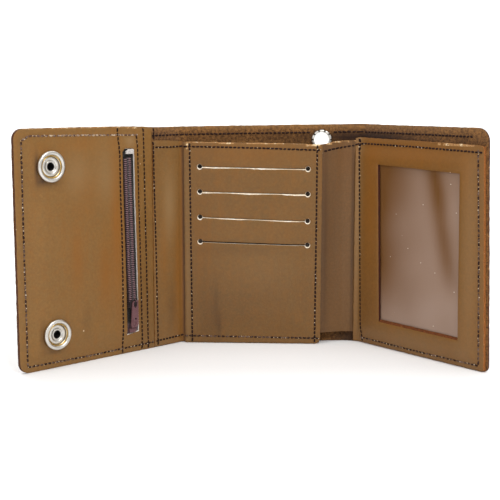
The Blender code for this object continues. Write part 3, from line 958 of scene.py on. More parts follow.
# ---------------------------------------------------------------- divider
DIVIDER_TOPS = [(LEFT_OUTER, 106.9), (-8, 106.6), (0, 106.0), (3, 105.3), (70, 104.4), (74, 104.9),
                (79, 106.1), (87, 106.5), (91.5, 106.7), (95, 107.1), (ID_END, 106.0)]
DIVIDER_PARTS = {
    "left_inner_crease": (LEFT_OUTER + SEAM_GAP, STRIP_JOIN, LEATHER_STRIP, ("divider_left_fold",)),
    "right_inner_crease": (STRIP_JOIN, ID_JOIN, LEATHER_GAP_SHADED, ("divider_centre",)),
    "right_outer_crease": (ID_JOIN, ID_END, LEATHER_GAP_SHADED, ("divider_right_fold", "divider_id_panel")),
}
# Warm dye streaks; a painted highlight high on the left strip; painted shade in the crease along the card
# panel's left edge, warmed along it, beside its right edge, in the gap and along the identity frame's left
# edge; a darker patch low on the strip.
STRIP_TINTS = [("warm", -3.8, 38, 2.2, 36, 0.55), ("pale", -9, 74, 4.0, 18, 0.75),
               ("warm", -12.5, 52, 2.0, 22, 0.4), ("shade", 0.2, 55, 0.9, 90, 0.75),
               ("warm", -0.2, 55, 1.3, 90, 0.9),
               ("shade", -8, 20, 3, 10, 0.3), ("shade", 73.6, 52, 1.6, 70, 0.5),
               ("shade", 78, 60, 5, 50, 0.2), ("shade", 88.2, 55, 0.7, 70, 0.7),
               ("warm", 84, 98, 6, 10, 0.3)]


def divider_back(u, z):
    return np.where(u > RIGHT_OUTER - 0.5, id_divider_front(u, z), divider_front(u, z)) - DIVIDER


def build_divider():
    made = {}
    for seed, (crease, (u0, u1, skin, nodes)) in enumerate(DIVIDER_PARTS.items(), 41):
        outline = rounded(u0, u1, LIFT, tops_between(DIVIDER_TOPS, u0, u1))
        if crease == "right_inner_crease":
            outline = [(u0, LIFT), (71.0, LIFT), (71.6, 5.8), (u1, 5.6)] + outline[2:]
        if crease == "right_outer_crease":
            outline = slanted([(u0, 5.6), (91.6, 5.4), (91.7, LIFT), (u1, LIFT)] + outline[2:])
        sheet = Sheet(f"divider_{crease.replace('_crease', '')}", outline, DIVIDER - 0.1, divider_back,
                      step=1.6, lines=(crease_lines(crease), ()), seed=seed, roll=(0.12, 0.1),
                      joins=(STRIP_JOIN, ID_JOIN))
        sheet.materials(skin, SUEDE_BACK, EDGE_TAN, worn=EDGE_PALE, worn_spans=((74, 91),))
        sheet.finish(STRIP_TINTS)
        sheet.across(crease, *nodes, slot="leather")
        made[crease] = sheet
    return made


DIVIDERS = build_divider()

# ---------------------------------------------------------------- flap lining
# Warm dye streaks; paler patches high up, painted highlights; a pale spot above the slot; painted shadows
# left of and below both snaps; darker patches low down and near the fold.
FLAP_TINTS = [("warm", -43.6, 66, 3.2, 40, 0.8), ("warm", -67, 52, 4, 16, 0.55),
              ("warm", -51, 42, 4, 18, 0.6), ("warm", -60, 84, 8, 12, 0.3), ("warm", -64, 106, 12, 4, 0.35),
              ("pale", -66, 92, 7, 10, 0.5), ("pale", -50, 90, 6, 14, 0.45), ("pale", -34, 107, 3, 3, 0.7),
              ("shade", -62, 20, 3, 8, 0.2), ("shade", -80.9, 88.2, 7, 1.6, 0.3),
              ("shade", -88.0, 96, 1.0, 6.2, 1.0), ("shade", -85.4, 90.0, 2.2, 1.8, 0.9),
              ("shade", -87.1, 16.4, 1.0, 5.8, 0.9), ("shade", -82, 8.7, 5, 1.2, 0.35),
              ("warm", -30, 60, 1.5, 40, 0.25), ("shade", -25, 30, 9, 40, 0.18),
              ("warm", -85, 104, 5, 5, 0.3)]


def slot_outline(grow=0.0, drop=0.0):
    """The zip's slot, which leans a little and whose foot slopes."""
    u0, u1, z0, z1 = SLOT
    return [(u0 + 0.4 - grow, z0 - 0.5 - drop), (u1 + 0.2 + grow, z0 + 0.6 - drop),
            (u1 - 1.5 + grow, z1 - 0.6), (u1 - 2.4, z1 + grow), (u0 + 0.4, z1 + grow),
            (u0 - 1.1 - grow, z1 - 1.5)]


def build_lining():
    tops = [(FLAP_END, 114.0), (-70, 114.2), (-40, 114.1), (LEFT_OUTER - SEAM_GAP, 113.7)]
    outline = rounded(FLAP_END, LEFT_OUTER - SEAM_GAP, 0.1, tops, (5.0, 0, 0, 5.0))
    seams = [-40.5, -28.5, -24.5]
    near = [u + d for u in seams for d in (-0.7, 0, 0.7)]
    sheet = Sheet("flap_lining_leather", outline, LINING[1] - LINING[0], lining_back, step=1.5,
                  lines=(near, ()), seed=51, roll=(0.32, 0.0))
    sheet.open([(ring(*snap, POST_HOLE), ring(*snap, POST_HOLE)) for snap in SNAPS])
    sheet.open([(wobbly(slot_outline(), 0.05, 3.0, 4), wobbly(slot_outline(0.12, 0.2), 0.05, 3.0, 4))])
    sheet.materials(LEATHER_FLAP, SUEDE_BACK, EDGE_DARK, EDGE_WHITE, worn=EDGE_PALE,
                    worn_spans=((-94, -84), (-80, -66), (-62, -48), (-44, -29)))
    sheet.finish(FLAP_TINTS)
    return sheet.on("flap", "flap_lining", slot="leather")


FLAP_LINING = build_lining()

# ---------------------------------------------------------------- card panel
# Painted shade low on the left and in the dent near u 17; darker in a band below the lowest slit and over the
# lower half; paler down the left edge and where the panel puffs out; warm dye.
CARD_TINTS = [("shade", 14, 14, 7, 16, 0.2), ("shade", 17.0, 20, 1.2, 14, 0.25),
              ("shade", 19.0, 9, 0.9, 7, 0.35), ("pale", 2.2, 30, 1.2, 60, 0.35),
              ("warm", 36, 100, 30, 7, 0.28), ("warm", 9, 60, 4, 20, 0.2), ("pale", 40, 40, 18, 12, 0.16),
              ("shade", 30, 50, 22, 3, 0.18), ("shade", 36, 20, 34, 16, 0.18)]
CARD_TOPS = [(0.7, 105.6), (3, 105.9), (30, 105.5), (50, 105.3), (CARD_WIDTH + 0.5, 104.5)]
SLIT_DROP = (1.1, 1.1, 1.9, 1.6)     # how much lower each slit's right end is
SLIT_LIP = (0.62, 0.68, 0.5, 0.0)    # how far each lower lip has rolled open
SLIT_HALF = (0.12, 0.12, 0.12, 0.34)


def slit_cut(number, z):
    """A slit, wider at the front where its lower lip has rolled open."""
    rng = random.Random(60 + number)
    u0, u1 = SLIT_ENDS[0] + 0.6, SLIT_ENDS[1] - 0.6
    count = 26
    lip, half = SLIT_LIP[number], SLIT_HALF[number]
    marks = range(count + 1)
    line = [(u0 + (u1 - u0) * i / count, z + 0.5 - SLIT_DROP[number] * i / count) for i in marks]
    slack = [0.5 + 0.5 * math.sin(i * 0.5 + number * 2) + rng.uniform(-0.2, 0.3) for i in marks]
    upper = [(u, z + half) for u, z in line]
    back = [(u, z - half) for u, z in line]
    front = [(u, z - half - 0.02 - lip * (0.45 + 0.55 * max(0.0, s))) for (u, z), s in zip(line, slack)]
    return upper + back[::-1], upper + front[::-1]


def build_card():
    outline = rounded(0.7, CARD_WIDTH + 0.5, LIFT, CARD_TOPS)
    outline[1:2] = [(CARD_WIDTH - 1.6, LIFT), (CARD_WIDTH + 0.2, LIFT + 2.2)]
    z_lines = [z + d for z in SLIT_Z for d in (-1.8, -0.9, 0.9)]
    sheet = Sheet("card_panel_leather", outline, 1.1, card_back, step=1.6, lines=((), z_lines),
                  seed=61, roll=(0.3, 0.0), leaning=True)
    holes = []
    for number, z in enumerate(SLIT_Z):
        for end, drop in zip(SLIT_ENDS, (0.0, SLIT_DROP[number])):
            holes.append((ring(end, z + 0.5 - drop, 1.15, 18), ring(end, z + 0.32 - drop, 1.45, 18)))
    sheet.open(holes)
    sheet.open([slit_cut(n, z) for n, z in enumerate(SLIT_Z)])
    sheet.materials(LEATHER_CARD, SUEDE_BACK, EDGE_PALE, EDGE_CREAM, worn=EDGE_PALE,
                    worn_spans=((0, 26), (33, 52), (57, 71)))
    sheet.finish(CARD_TINTS)
    return sheet.on("centre", "card_panel", slot="leather")


CARD = build_card()


def build_pockets():
    """Thin cloth pockets behind the card panel, one for each slit."""
    for number, z in enumerate(SLIT_Z, 1):
        share = (number - 0.4) / 5.2

        def back(u, z, share=share):
            return card_back(u, z) * share

        outline = rounded(5.0, CARD_WIDTH - 4.5, 3.0, [(5.0, z + 5.0), (CARD_WIDTH - 4.5, z + 4.0)])
        sheet = Sheet(f"card_pocket_cloth_{number}", outline, 0.22, back, step=4.0, seed=70 + number,
                      wobble=0.3, roll=(0.0, 0.0), leaning=True)
        sheet.materials(CLOTH_DARK, CLOTH_DARK, CLOTH_DARK).finish()
        sheet.on("centre", f"card_pocket_{number}", slot="lining_cloth")


build_pockets()

# ---------------------------------------------------------------- identity panel
# Warm dye on the left and along the top; painted shade low on the left; paler down the left margin, along the
# foot and down the right side.
ID_TINTS = [("warm", 100, 76, 5, 34, 0.5), ("warm", 125, 101, 34, 6, 0.5), ("shade", 98, 20, 6, 16, 0.12),
            ("pale", 91.2, 70, 2.6, 60, 0.5), ("pale", 130, 6, 40, 7, 0.3), ("pale", 163, 50, 6, 60, 0.3),
            ("warm", 160, 92, 3, 12, 0.3)]
ID_TOPS = [(FRAME_START, 107.6), (FRAME_START + 1.5, 108.0), (120, 107.4), (150, 106.8), (ID_END - 3, 106.3),
           (ID_END, 106.1)]


def build_id_frame():
    u0, u1, z0, z1 = WINDOW
    outline = slanted(rounded(FRAME_START, ID_END, LIFT, ID_TOPS, (0, 1.5, 1.6, 0)))

    def back(u, z):
        hem = bump(u, z, (u0 - 7, 50, 4, 40, 0.12))
        return id_level(u, z, 3.9) + hem + 0.08 * wave(u, z, 9, 30)

    near_u = crease_lines("right_outer_crease") + [u0 - 1.2, u0 - 0.5, u1 + 0.5, u1 + 1.2]
    near_z = [z0 - 1.2, z0 - 0.5, z1 + 0.5, z1 + 1.2]
    sheet = Sheet("id_frame_leather", outline, 1.0, back, step=1.7, lines=(near_u, near_z), seed=81,
                  roll=(0.28, 0.0))
    hole = [(u0 + 2.2, z0 + 1.2), (u1 + 1.3, z0 + 0.6), (u1 - 0.2, z1 - 0.8), (u0 - 0.3, z1 + 1.0)]
    front = [(u0 + 1.7, z0 - 0.1), (u1 + 1.4, z0 - 0.6), (u1 - 0.1, z1 - 0.7), (u0 - 0.9, z1 + 1.1)]
    sheet.open([(wobbly(hole, 0.06, 3.0, 9), wobbly(front, 0.06, 3.0, 9))])
    sheet.materials(LEATHER_ID, SUEDE_BACK, EDGE_TAN, EDGE_RUST, side=EDGE_RED, worn=EDGE_PALE,
                    worn_spans=((138, 164),))
    sheet.finish(ID_TINTS)
    return sheet.across("right_outer_crease", "id_frame", slot="leather")


ID_FRAME = build_id_frame()


def haze_and_reflection_at(u, z):
    """How milky the film is, the milkiness also standing in for its reflections as painted reflection: clear
    down its left side and in a slanting band on the right.
    """
    left = 0.95 * np.exp(-((u - 101.0) / 20.0) ** 2) * smooth(z, 2, 44)
    head = 0.22 * smooth(z, 64, 96)
    band = 0.72 * np.exp(-((u - 141.5 - (88 - z) * 0.22) / 5.6) ** 2) * smooth(z, 26, 52)
    return np.clip(0.92 - left - band - head + 0.07 * wave(u, z, 17, 14), 0, 1)


def build_film():
    u0, u1, z0, z1 = WINDOW

    def back(u, z):
        sag = 0.12 * wave(u, z, 91, 22)
        return id_level(u, z, 3.35) + sag - 0.12

    outline = rounded(u0 - 5, u1 + 5, z0 - 5, [(u0 - 5, z1 + 5), (u1 + 5, z1 + 5)])
    sheet = Sheet("window_vinyl_film", outline, 0.2, back, step=2.2, seed=92, wobble=0.0, roll=(0, 0))
    sheet.materials(VINYL, VINYL, VINYL).finish()
    # haze with painted reflection, for the film's material
    store(sheet.obj.data, "haze_and_reflection", haze_and_reflection_at(sheet.flat[:, 0], sheet.flat[:, 2]))
    return sheet.on("id_panel", "window_film", slot="vinyl")


build_film()

# ---------------------------------------------------------------- stitching
SEAMS = (  # name, sheet, body or crease, paths of (u, z), share of holes with fluff, thread
    ("stitch_flap_edge", FLAP_LINING, "flap",
     [[(-95.2, 108.4), (-95.4, 60), (-95.2, 3.2)], [(-95.2, 3.0), (-60, 2.7), (-20.0, 3.2)]],
     0.7, "mixed"),
    ("stitch_flap_top", FLAP_LINING, "flap",
     [[(-28.5, 109.9), (-60, 110.4), (-91.5, 110.7), (-95.2, 108.6)]], 0.8, "pale"),
    ("stitch_zip_left", FLAP_LINING, "flap", [[(-41.2, 113.6), (-40.4, 60), (-40.4, 0.6)]], 0.12, "dark"),
    ("stitch_zip_right", FLAP_LINING, "flap", [[(-29.8, 109.8), (-28.8, 60), (-28.0, 0.8)]], 0.15, "dark"),
    ("stitch_flap_fold", FLAP_LINING, "flap", [[(-25.4, 113.3), (-24.6, 50), (-24.0, 0.6)]], 0.1, "dark"),
    ("stitch_strip", DIVIDERS["left_inner_crease"], "left_inner_crease",
     [[(-19.0, 106.4), (-18.7, 85), (-18.0, 50), (-17.4, 0.9)], [(-17.9, 103.4), (-9, 103.2), (0.0, 103.5)],
      [(-18.6, 3.3), (-9, 3.6), (-0.3, 3.9)]], 0.2, "dark"),
    ("stitch_card", CARD, "centre",
     [[(0.4, 103.4), (20, 103.2), (45, 102.6), (71.0, 101.6)], [(3.7, 105.2), (4.0, 60), (4.4, 0.8)],
      [(69.4, 104.2), (69.2, 60), (68.8, 0.8)]], 0.2, "dark"),
    ("stitch_card_foot", CARD, "centre", [[(0.4, 3.9), (36, 3.6), (71.0, 3.2)]], 0.5, "mixed"),
    ("stitch_gap", DIVIDERS["right_inner_crease"], "right_inner_crease",
     [[(72.6, 100.9), (78, 102.2), (87.0, 103.6)]], 0.1, "dark"),
    ("stitch_gap_end", DIVIDERS["right_outer_crease"], "right_outer_crease",
     [[(87.3, 103.6), (88.9, 103.9)]], 0.1, "dark"),
    ("stitch_id", ID_FRAME, "right_outer_crease",
     [[(89.0, 104.3), (93, 104.9), (125, 104.4), (155, 103.5), (169.2, 103.0)],
      [(91.0, 107.4), (92.2, 60), (94.0, 0.8)]], 0.15, "dark"),
    ("stitch_id_right", ID_FRAME, "right_outer_crease",
     [[(166.9, 104.6), (168.9, 60), (170.8, 3.2)], [(92.2, 2.9), (130, 2.6), (170.6, 2.8)]], 0.5, "mixed"),
    ("stitch_shell_strip", SHELLS["left_outer_crease"], "left_outer_crease",
     [[(-19.2, 109.2), (-10.4, 109.3)], [(-17.9, 113.2), (-17.9, 107.2)]], 0.0, "dark"),
    ("stitch_shell_left", SHELLS["left_inner_crease"], "left_inner_crease",
     [[(-10.1, 109.3), (10, 109.6), (40, 110.1)]], 0.0, "dark"),
    ("stitch_shell_right", SHELLS["right_inner_crease"], "right_inner_crease",
     [[(40.2, 110.1), (66.0, 110.4)], [(78, 110.6), (87.0, 110.8)]], 0.0, "dark"),
    ("stitch_shell_id", SHELLS["right_outer_crease"], "right_outer_crease",
     [[(87.4, 110.8), (130, 110.4), (162, 110.0)]], 0.0, "dark"),
)


def build_seams():
    for seed, (name, sheet, where, paths, fluff, thread) in enumerate(SEAMS, 100):
        seam = Seam(name, sheet, paths, fluff, seed).materials(THREADS[thread], FLUFF)
        if where in CROSSING:
            seam.across(where)
        else:
            seam.on(where)


build_seams()

# ---------------------------------------------------------------- zip
COIL_PITCH = 0.95
COIL_FOOT = 24.0                     # below the slider the two rows have parted


def tube(path, radius, sides=8):
    """Verts and faces of a capped tube along (u, h, z) points."""
    path = np.array(path, float)
    tangent = np.gradient(path, axis=0)
    tangent /= np.linalg.norm(tangent, axis=1)[:, None]
    verts, faces = [], []
    for p, t in zip(path, tangent):
        side = np.cross(t, (0.31, 0.2, 0.93))
        side /= np.linalg.norm(side)
        up = np.cross(side, t)
        for j in range(sides):
            a = math.tau * j / sides
            verts.append(p + radius * (side * math.cos(a) + up * math.sin(a)))
    for i in range(len(path) - 1):
        for j in range(sides):
            k = (j + 1) % sides
            faces.append((i * sides + j, i * sides + k, (i + 1) * sides + k, (i + 1) * sides + j))
    faces.append(tuple(reversed(range(sides))))
    faces.append(tuple((len(path) - 1) * sides + j for j in range(sides)))
    return verts, faces


def gathered(name, parts, body, material, node):
    """One object from many (verts, faces) in flat millimetres."""
    verts, faces = [], []
    for v, f in parts:
        faces += [tuple(i + len(verts) for i in face) for face in f]
        verts += [tuple(p) for p in v]
    flat = np.array(verts)
    obj = new_object(name, flat, faces)
    store(obj.data, "flat", flat)
    move(obj, place_on(flat, body))
    fix_normals(obj)
    dress(obj, body, material, 45, node)


def dress(obj, body, material, sharp, node):
    """Shades a hard piece smooth but for its sharp edges, and lets it stand for its CAD node."""
    obj.data.shade_smooth()
    obj.data.set_sharp_from_angle(angle=math.radians(sharp))
    obj.data.materials.append(material)
    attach(obj, body)
    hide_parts(node)


def zip_line(z):
    """Where the rows of coil meet: the zip leans to the left as it goes up."""
    return ZIP_U + 0.1 - 0.9 * smooth(z, 20, 50) - 1.1 * smooth(z, 40, 110)


def build_coils():
    """Loops of nylon from each side that lock in turn at the middle."""
    top = SLOT[3] - 3.4
    for side, sign in (("left", -1), ("right", 1)):
        parts = []
        for i in range(int((top - COIL_FOOT) / COIL_PITCH)):
            z = COIL_FOOT + (i + (0.5 if sign > 0 else 0.0)) * COIL_PITCH
            mid = float(zip_line(z))
            outer, tip = mid + sign * 2.45, mid - sign * 0.38
            path = [(outer, 3.1, z - 0.2), (outer + sign * 0.05, 3.5, z - 0.16),
                    (outer - sign * 0.4, 4.0, z - 0.1), (mid + sign * 1.3, 4.3, z - 0.05),
                    (mid + sign * 0.75, 4.1, z - 0.02), (tip, 3.55, z), (tip - sign * 0.08, 3.35, z + 0.03),
                    (mid + sign * 0.5, 3.1, z + 0.08), (outer - sign * 0.3, 3.1, z + 0.22)]
            parts.append(tube(path, 0.25, 7))
        gathered(f"zip_coil_loops_{side}", parts, "flap", COIL_MATERIAL, f"zip_coil_{side}")


def tape_shade(z):
    """Painted shade on the tape: near black under the coil and in the hollow beside the pull."""
    return smooth(z, 14.6, 16.0)


def build_tapes():
    for side, sign in (("left", -1), ("right", 1)):
        inner = ZIP_U + sign * 0.12
        u0, u1 = sorted((inner, inner + sign * 6.6))
        outline = rounded(u0, u1, SLOT[2] - 5, [(u0, SLOT[3] + 5), (u1, SLOT[3] + 5)])
        sheet = Sheet(f"zip_tape_cloth_{side}", outline, 0.3, lambda u, z: flap_level(u, z, 2.4), step=0.8,
                      seed=120, wobble=0.05, roll=(0.0, 0.0))
        sheet.materials(TAPE, TAPE, TAPE).finish()
        store(sheet.obj.data, "shade", tape_shade(sheet.flat[:, 2]))
        sheet.on("flap", f"zip_tape_{side}", slot="zip_cloth")


def build_pocket_lining():
    outline = rounded(-66.0, -23.0, 5.0, [(-66.0, 108.0), (-23.0, 108.0)])
    sheet = Sheet("coin_pocket_cloth", outline, 0.22, lambda u, z: flap_level(u, z, 1.8), step=3.0,
                  seed=121, wobble=0.2, roll=(0.0, 0.0))
    sheet.materials(CLOTH_DARK, CLOTH_DARK, CLOTH_DARK).finish()
    sheet.on("flap", "coin_pocket_lining", slot="lining_cloth")


def soft_block(points, h0, h1, bevel):
    """Verts and faces of a prism with bevelled edges, from an outline in (u, z)."""
    verts, faces = prism(points, points, h0, h1)
    mesh = bmesh.new()
    made = [mesh.verts.new((u, -y, z)) for u, y, z in verts]
    for face in faces:
        mesh.faces.new([made[i] for i in face])
    bmesh.ops.recalc_face_normals(mesh, faces=mesh.faces)
    bmesh.ops.bevel(mesh, geom=mesh.edges[:], offset=bevel, segments=2, profile=0.6, affect="EDGES",
                    clamp_overlap=True)
    mesh.verts.index_update()
    out = [tuple(v.co) for v in mesh.verts], [tuple(v.index for v in f.verts) for f in mesh.faces]
    mesh.free()
    return out


def build_stops():
    for name, z0, z1 in (("bottom", SLOT[2] + 0.4, SLOT[2] + 2.6), ("top", SLOT[3] - 2.6, SLOT[3] - 0.4)):
        outline = [(ZIP_U - 2, z0), (ZIP_U + 2, z0), (ZIP_U + 2, z1), (ZIP_U - 2, z1)]
        if name == "top":
            outline = [(ZIP_U - 2.3, z0), (ZIP_U + 2.2, z0), (ZIP_U + 2.2, z1 + 0.2), (ZIP_U - 0.9, z1 + 0.2),
                       (ZIP_U - 2.3, z1 - 1.0)]
        parts = [soft_block(outline, 3.0, 4.2, 0.25)]
        material = WHITE_TAPE if name == "top" else ZIP_METAL
        gathered(f"zip_{name}_stop_crimp", parts, "flap", material, f"zip_{name}_stop")


def build_slider():
    """Slider body, mostly hidden by its pull, and the arch that holds the pull."""
    mid, low, high = ZIP_U - 0.1, SLIDER_Z - 4.0, SLIDER_Z + 0.4
    base = [(mid - 1.7, low), (mid + 1.7, low), (mid + 2.2, low + 2.0), (mid + 2.2, high - 0.8),
            (mid + 1.5, high), (mid - 1.5, high), (mid - 2.2, high - 0.8), (mid - 2.2, low + 2.0)]
    arch_u = ZIP_U + 0.45
    arch = [(arch_u, 4.8, SLIDER_Z - 3.2), (arch_u, 5.7, SLIDER_Z - 3.1), (arch_u, 6.15, SLIDER_Z - 2.4),
            (arch_u, 6.25, SLIDER_Z - 1.2), (arch_u, 6.15, SLIDER_Z - 0.1), (arch_u, 5.7, SLIDER_Z + 0.5),
            (arch_u, 4.8, SLIDER_Z + 0.5)]
    parts = [soft_block(base, 4.3, 4.9, 0.15), tube(arch, 0.34, 10)]
    gathered("zip_slider_body", parts, "zip_slider", ZIP_DARK, "zip_slider")


def build_pull():
    """Flat tab, wider at its foot, with its eye, a small hole and a hooked slot."""
    top, bottom, right = SLIDER_Z + 0.3, SLIDER_Z - 13.4, ZIP_U + 2.3
    outline = [(ZIP_U - 1.5, bottom), (right - 0.8, bottom + 0.5), (right, bottom + 1.4), (right, top - 0.2),
               (right - 0.4, top + 0.15), (ZIP_U - 0.7, top - 0.2), (ZIP_U - 1.3, top - 1.2),
               (ZIP_U - 2.2, bottom + 1.6), (ZIP_U - 2.1, bottom + 0.5)]
    obj = new_object("zip_pull_tab", *prism(outline, outline, 0.0, 0.6))
    fix_normals(obj)
    eye = [(ZIP_U - 0.4, top - 3.1), (right - 0.8, top - 3.0), (right - 0.8, top - 0.7),
           (ZIP_U - 0.3, top - 0.8)]
    dot = ring(ZIP_U + 0.55, bottom + 4.4, 0.55, 14)
    cut(obj, [prism(eye, eye, -0.2, 0.8), prism(dot, dot, -0.2, 0.8)])
    hook = arc(ZIP_U - 0.5, bottom + 2.2, 1.35, 40, -130, 10) + [(ZIP_U - 1.5, bottom + 4.4)]
    inner = [(ZIP_U - 1.1, bottom + 4.4)] + arc(ZIP_U - 0.5, bottom + 2.2, 0.8, -150, 40, 10)
    cut(obj, [prism(hook + inner, hook + inner, 0.3, 0.8)])
    mesh = bmesh.new()
    mesh.from_mesh(obj.data)
    sharp = [e for e in mesh.edges if len(e.link_faces) == 2 and e.calc_face_angle() > 1.0]
    bmesh.ops.bevel(mesh, geom=sharp, offset=0.07, segments=2, affect="EDGES", clamp_overlap=True)
    mesh.to_mesh(obj.data)
    mesh.free()
    co = coordinates(obj.data)
    flat = np.column_stack((co[:, 0], PULL_H - 0.3 - co[:, 1], co[:, 2]))
    move(obj, place_on(flat, "zip_pull"))
    dress(obj, "zip_pull", ZIP_METAL, 40, "zip_pull")


build_coils()
build_tapes()
build_pocket_lining()
build_stops()
build_slider()
build_pull()


# ---------------------------------------------------------------- metal fittings
def turned(profile, u, z, count=72, warp=None):
    """Verts and faces of a closed (radius, height) profile turned about (u, z)."""
    verts, faces = [], []
    n = len(profile)
    for i in range(count):
        a = math.tau * i / count
        for k, (r, h) in enumerate(profile):
            if warp:
                r, h = warp(a, k, r, h)
            verts.append((u + r * math.cos(a), h, z + r * math.sin(a)))
    for i in range(count):
        j = (i + 1) % count
        for k in range(n):
            m = (k + 1) % n
            faces.append((i * n + k, i * n + m, j * n + m, j * n + k))
    return verts, faces


def eased(points, radius=0.12):
    """A closed profile with each corner cut to three points."""
    made = []
    for before, p, after in zip(points[-1:] + points[:-1], points, points[1:] + points[:1]):
        for other in (before, after):
            length = math.dist(p, other)
            t = min(0.35, radius / max(length, 1e-6))
            made.append((p[0] + (other[0] - p[0]) * t, p[1] + (other[1] - p[1]) * t))
    return made


def build_snaps():
    """Cap outside; socket with a high smooth rim, its spring and the cap's rolled post inside, whose bore is
    lined black as painted shade.
    """
    floor = LINING[1] + 0.1
    cap = [(0.02, -1.1), (3.5, -1.06), (6.0, -0.9), (7.0, -0.55), (7.3, -0.3), (7.2, -0.15), (1.9, -0.15),
           (1.95, floor + 0.1), (2.7, floor + 0.14), (2.85, floor + 0.4), (2.55, floor + 0.62),
           (2.1, floor + 0.55), (1.88, floor + 0.2), (1.86, 0.9), (0.02, 0.9)]
    # black sleeve and floor inside the post: painted shade in the bore
    bore = [(1.74, floor + 0.12), (1.84, floor + 0.12), (1.84, 0.95), (0.02, 0.95), (0.02, 1.15),
            (1.74, 1.15)]
    socket = [(2.0, floor - 0.05), (6.5, floor), (7.1, floor + 0.2), (7.35, floor + 0.8),
              (7.3, floor + 1.4), (7.0, floor + 1.75), (6.5, floor + 1.9), (5.95, floor + 1.85),
              (5.6, floor + 1.6), (5.42, floor + 1.2), (5.42, floor + 0.5), (5.2, floor + 0.2),
              (4.75, floor + 0.18), (4.4, floor + 0.45), (3.4, floor + 0.48), (3.0, floor + 0.12),
              (2.0, floor + 0.08)]
    spring = [(4.92 + 0.22 * (1 + math.cos(a)), floor + 0.95 + 0.26 * math.sin(a))
              for a in (math.tau * i / 8 for i in range(8))]
    pieces = (("cap_metal", eased(cap), 72, NICKEL, "cap", "nickel"),
              ("post_bore_painted_shade", bore, 36, SHADE_BLACK, "cap", "nickel"),
              ("socket_metal", eased(socket), 72, NICKEL, "socket", "nickel"),
              ("spring_metal", spring, 72, BRASS, "spring", "brass"))
    fit_snaps(pieces, SNAPS, "flap")


def fit_snaps(pieces, spots, body):
    """Turns each (name, profile, count, material, node, slot) at the upper and the lower spot."""
    for spot_name, (u, z) in zip(("upper", "lower"), spots):
        for name, profile, count, material, node, slot in pieces:
            gathered(f"snap_{name}_{spot_name}", [turned(profile, u, z, count)], body, material,
                     f"snap_{node}_{spot_name}")


def build_studs():
    stud = [(2.9, -0.15), (6.1, -0.15), (6.25, -0.32), (6.1, -0.5), (4.1, -0.7), (3.65, -0.85), (3.5, -1.3),
            (3.85, -1.75), (3.88, -2.1), (3.6, -2.4), (3.2, -2.45), (2.9, -2.3)]
    rivet = [(0.02, 2.05), (4.2, 2.05), (4.4, 1.95), (4.4, 1.7), (4.2, 1.65), (1.4, 1.65), (1.4, -1.9),
             (0.02, -1.9)]
    pieces = (("stud_metal", eased(stud), 72, NICKEL, "stud", "nickel"),
              ("rivet_metal", eased(rivet), 72, NICKEL, "rivet", "nickel"))
    fit_snaps(pieces, STUDS, "id_panel")


def build_grommet():
    """Eyelet whose inner edge has split into petals as it rolled over its washer, which is black: painted
    shade between the petals.
    """
    washer_h = SHELL + 0.3
    petals = 10
    eyelet = [(3.75, -0.9), (5.2, -0.95), (6.3, -0.85), (6.8, -0.5), (6.75, -0.2), (4.2, -0.2),
              (4.2, washer_h + 0.4), (4.95, washer_h + 0.4), (5.2, washer_h + 0.65), (5.15, washer_h + 0.95),
              (4.8, washer_h + 1.2), (4.35, washer_h + 1.15), (4.1, washer_h + 0.7), (3.8, washer_h + 0.3)]

    def petal(a, k, r, h):
        if 7 <= k <= 12:
            notch = float(smooth(abs(math.sin(a * petals / 2)), 0.12, 0.5))
            r = 4.15 + (r - 4.15) * (0.1 + 0.9 * notch)
            h = washer_h + 0.3 + (h - washer_h - 0.3) * notch
        return r, h

    washer = [(4.4, washer_h), (5.0, washer_h), (5.1, washer_h + 0.1), (5.0, washer_h + 0.25),
              (4.4, washer_h + 0.25)]
    gathered("grommet_eyelet_metal", [turned(eyelet, GROMMET_U, GROMMET_Z, 200, petal)], "centre",
             NICKEL, "grommet_eyelet")
    # black washer: painted shade between the petals
    gathered("grommet_washer_metal", [turned(washer, GROMMET_U, GROMMET_Z)], "centre", SHADE_BLACK,
             "grommet_washer")


build_snaps()
build_studs()
build_grommet()


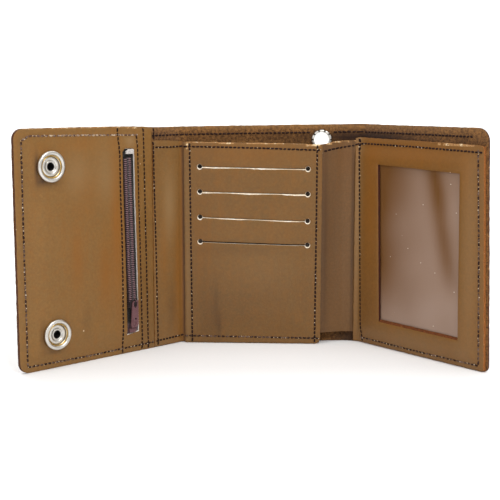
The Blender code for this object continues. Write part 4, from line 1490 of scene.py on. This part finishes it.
# ---------------------------------------------------------------- stage, light and camera
def build_stage():
    """Floor that curves up into a backdrop."""
    width, near, far, radius, height = 6.0, -3.0, 1.2, 0.8, 3.5
    line = [(near, 0.0), (0.0, 0.0), (far, 0.0)]
    line += [(far + radius * math.sin(a), radius - radius * math.cos(a))
             for a in (math.radians(90 * i / 12) for i in range(1, 13))]
    line.append((far + radius, height))
    verts = [(x, y, z) for y, z in line for x in (-width, 0.0, width)]
    faces = [(3 * i + j, 3 * i + j + 1, 3 * i + j + 4, 3 * i + j + 3)
             for i in range(len(line) - 1) for j in range(2)]
    floor = new_object("floor", verts, faces)
    floor.data.shade_smooth()
    floor.data.materials.append(floor_material())


def area_light(name, location, target, size, power):
    data = bpy.data.lights.new(name, "AREA")
    data.shape, data.size, data.size_y, data.energy = "RECTANGLE", *size, power
    obj = bpy.data.objects.new(name, data)
    obj.location = location
    obj.rotation_euler = (Vector(target) - Vector(location)).to_track_quat("-Z", "Y").to_euler()
    bpy.context.scene.collection.objects.link(obj)


def build_light():
    world = bpy.data.worlds.new("studio")
    world.use_nodes = True
    world.node_tree.nodes["Background"].inputs["Color"].default_value = (1.0, 0.995, 0.985, 1)
    world.node_tree.nodes["Background"].inputs["Strength"].default_value = 0.6
    bpy.context.scene.world = world
    area_light("key", (0.6, -1.0, 1.2), (0, 0, 0.05), (0.6, 0.6), 13.0)
    area_light("fill", (-0.9, -1.0, 0.8), (0, 0, 0.05), (0.9, 0.9), 5.2)
    area_light("top", (0.0, -0.1, 1.6), (0, 0, 0), (1.6, 1.2), 6.0)
    area_light("back", (0.0, 1.0, 1.5), (0, 1.5, 0.1), (2.5, 0.8), 22.0)


CAMERA_U, CAMERA_H, CAMERA_Z = 19.939, 540.335, 126.17     # fitted to the wallet's corners in the photo
CAMERA_TILT, CAMERA_TURN, CAMERA_LENS = 81.85, -1.579, 74.47


def build_camera():
    data = bpy.data.cameras.new("camera")
    data.lens, data.sensor_width = CAMERA_LENS, 36.0
    data.clip_start, data.clip_end = 0.02, 20.0
    camera = bpy.data.objects.new("camera", data)
    camera.location = ((ORIGIN_X + CAMERA_U) * MM, (ORIGIN_Y - CAMERA_H) * MM, CAMERA_Z * MM)
    camera.rotation_euler = (math.radians(CAMERA_TILT), 0.0, math.radians(CAMERA_TURN))
    bpy.context.scene.collection.objects.link(camera)
    bpy.context.scene.camera = camera


build_stage()
build_light()
build_camera()
bpy.context.scene.view_settings.view_transform = "Standard"
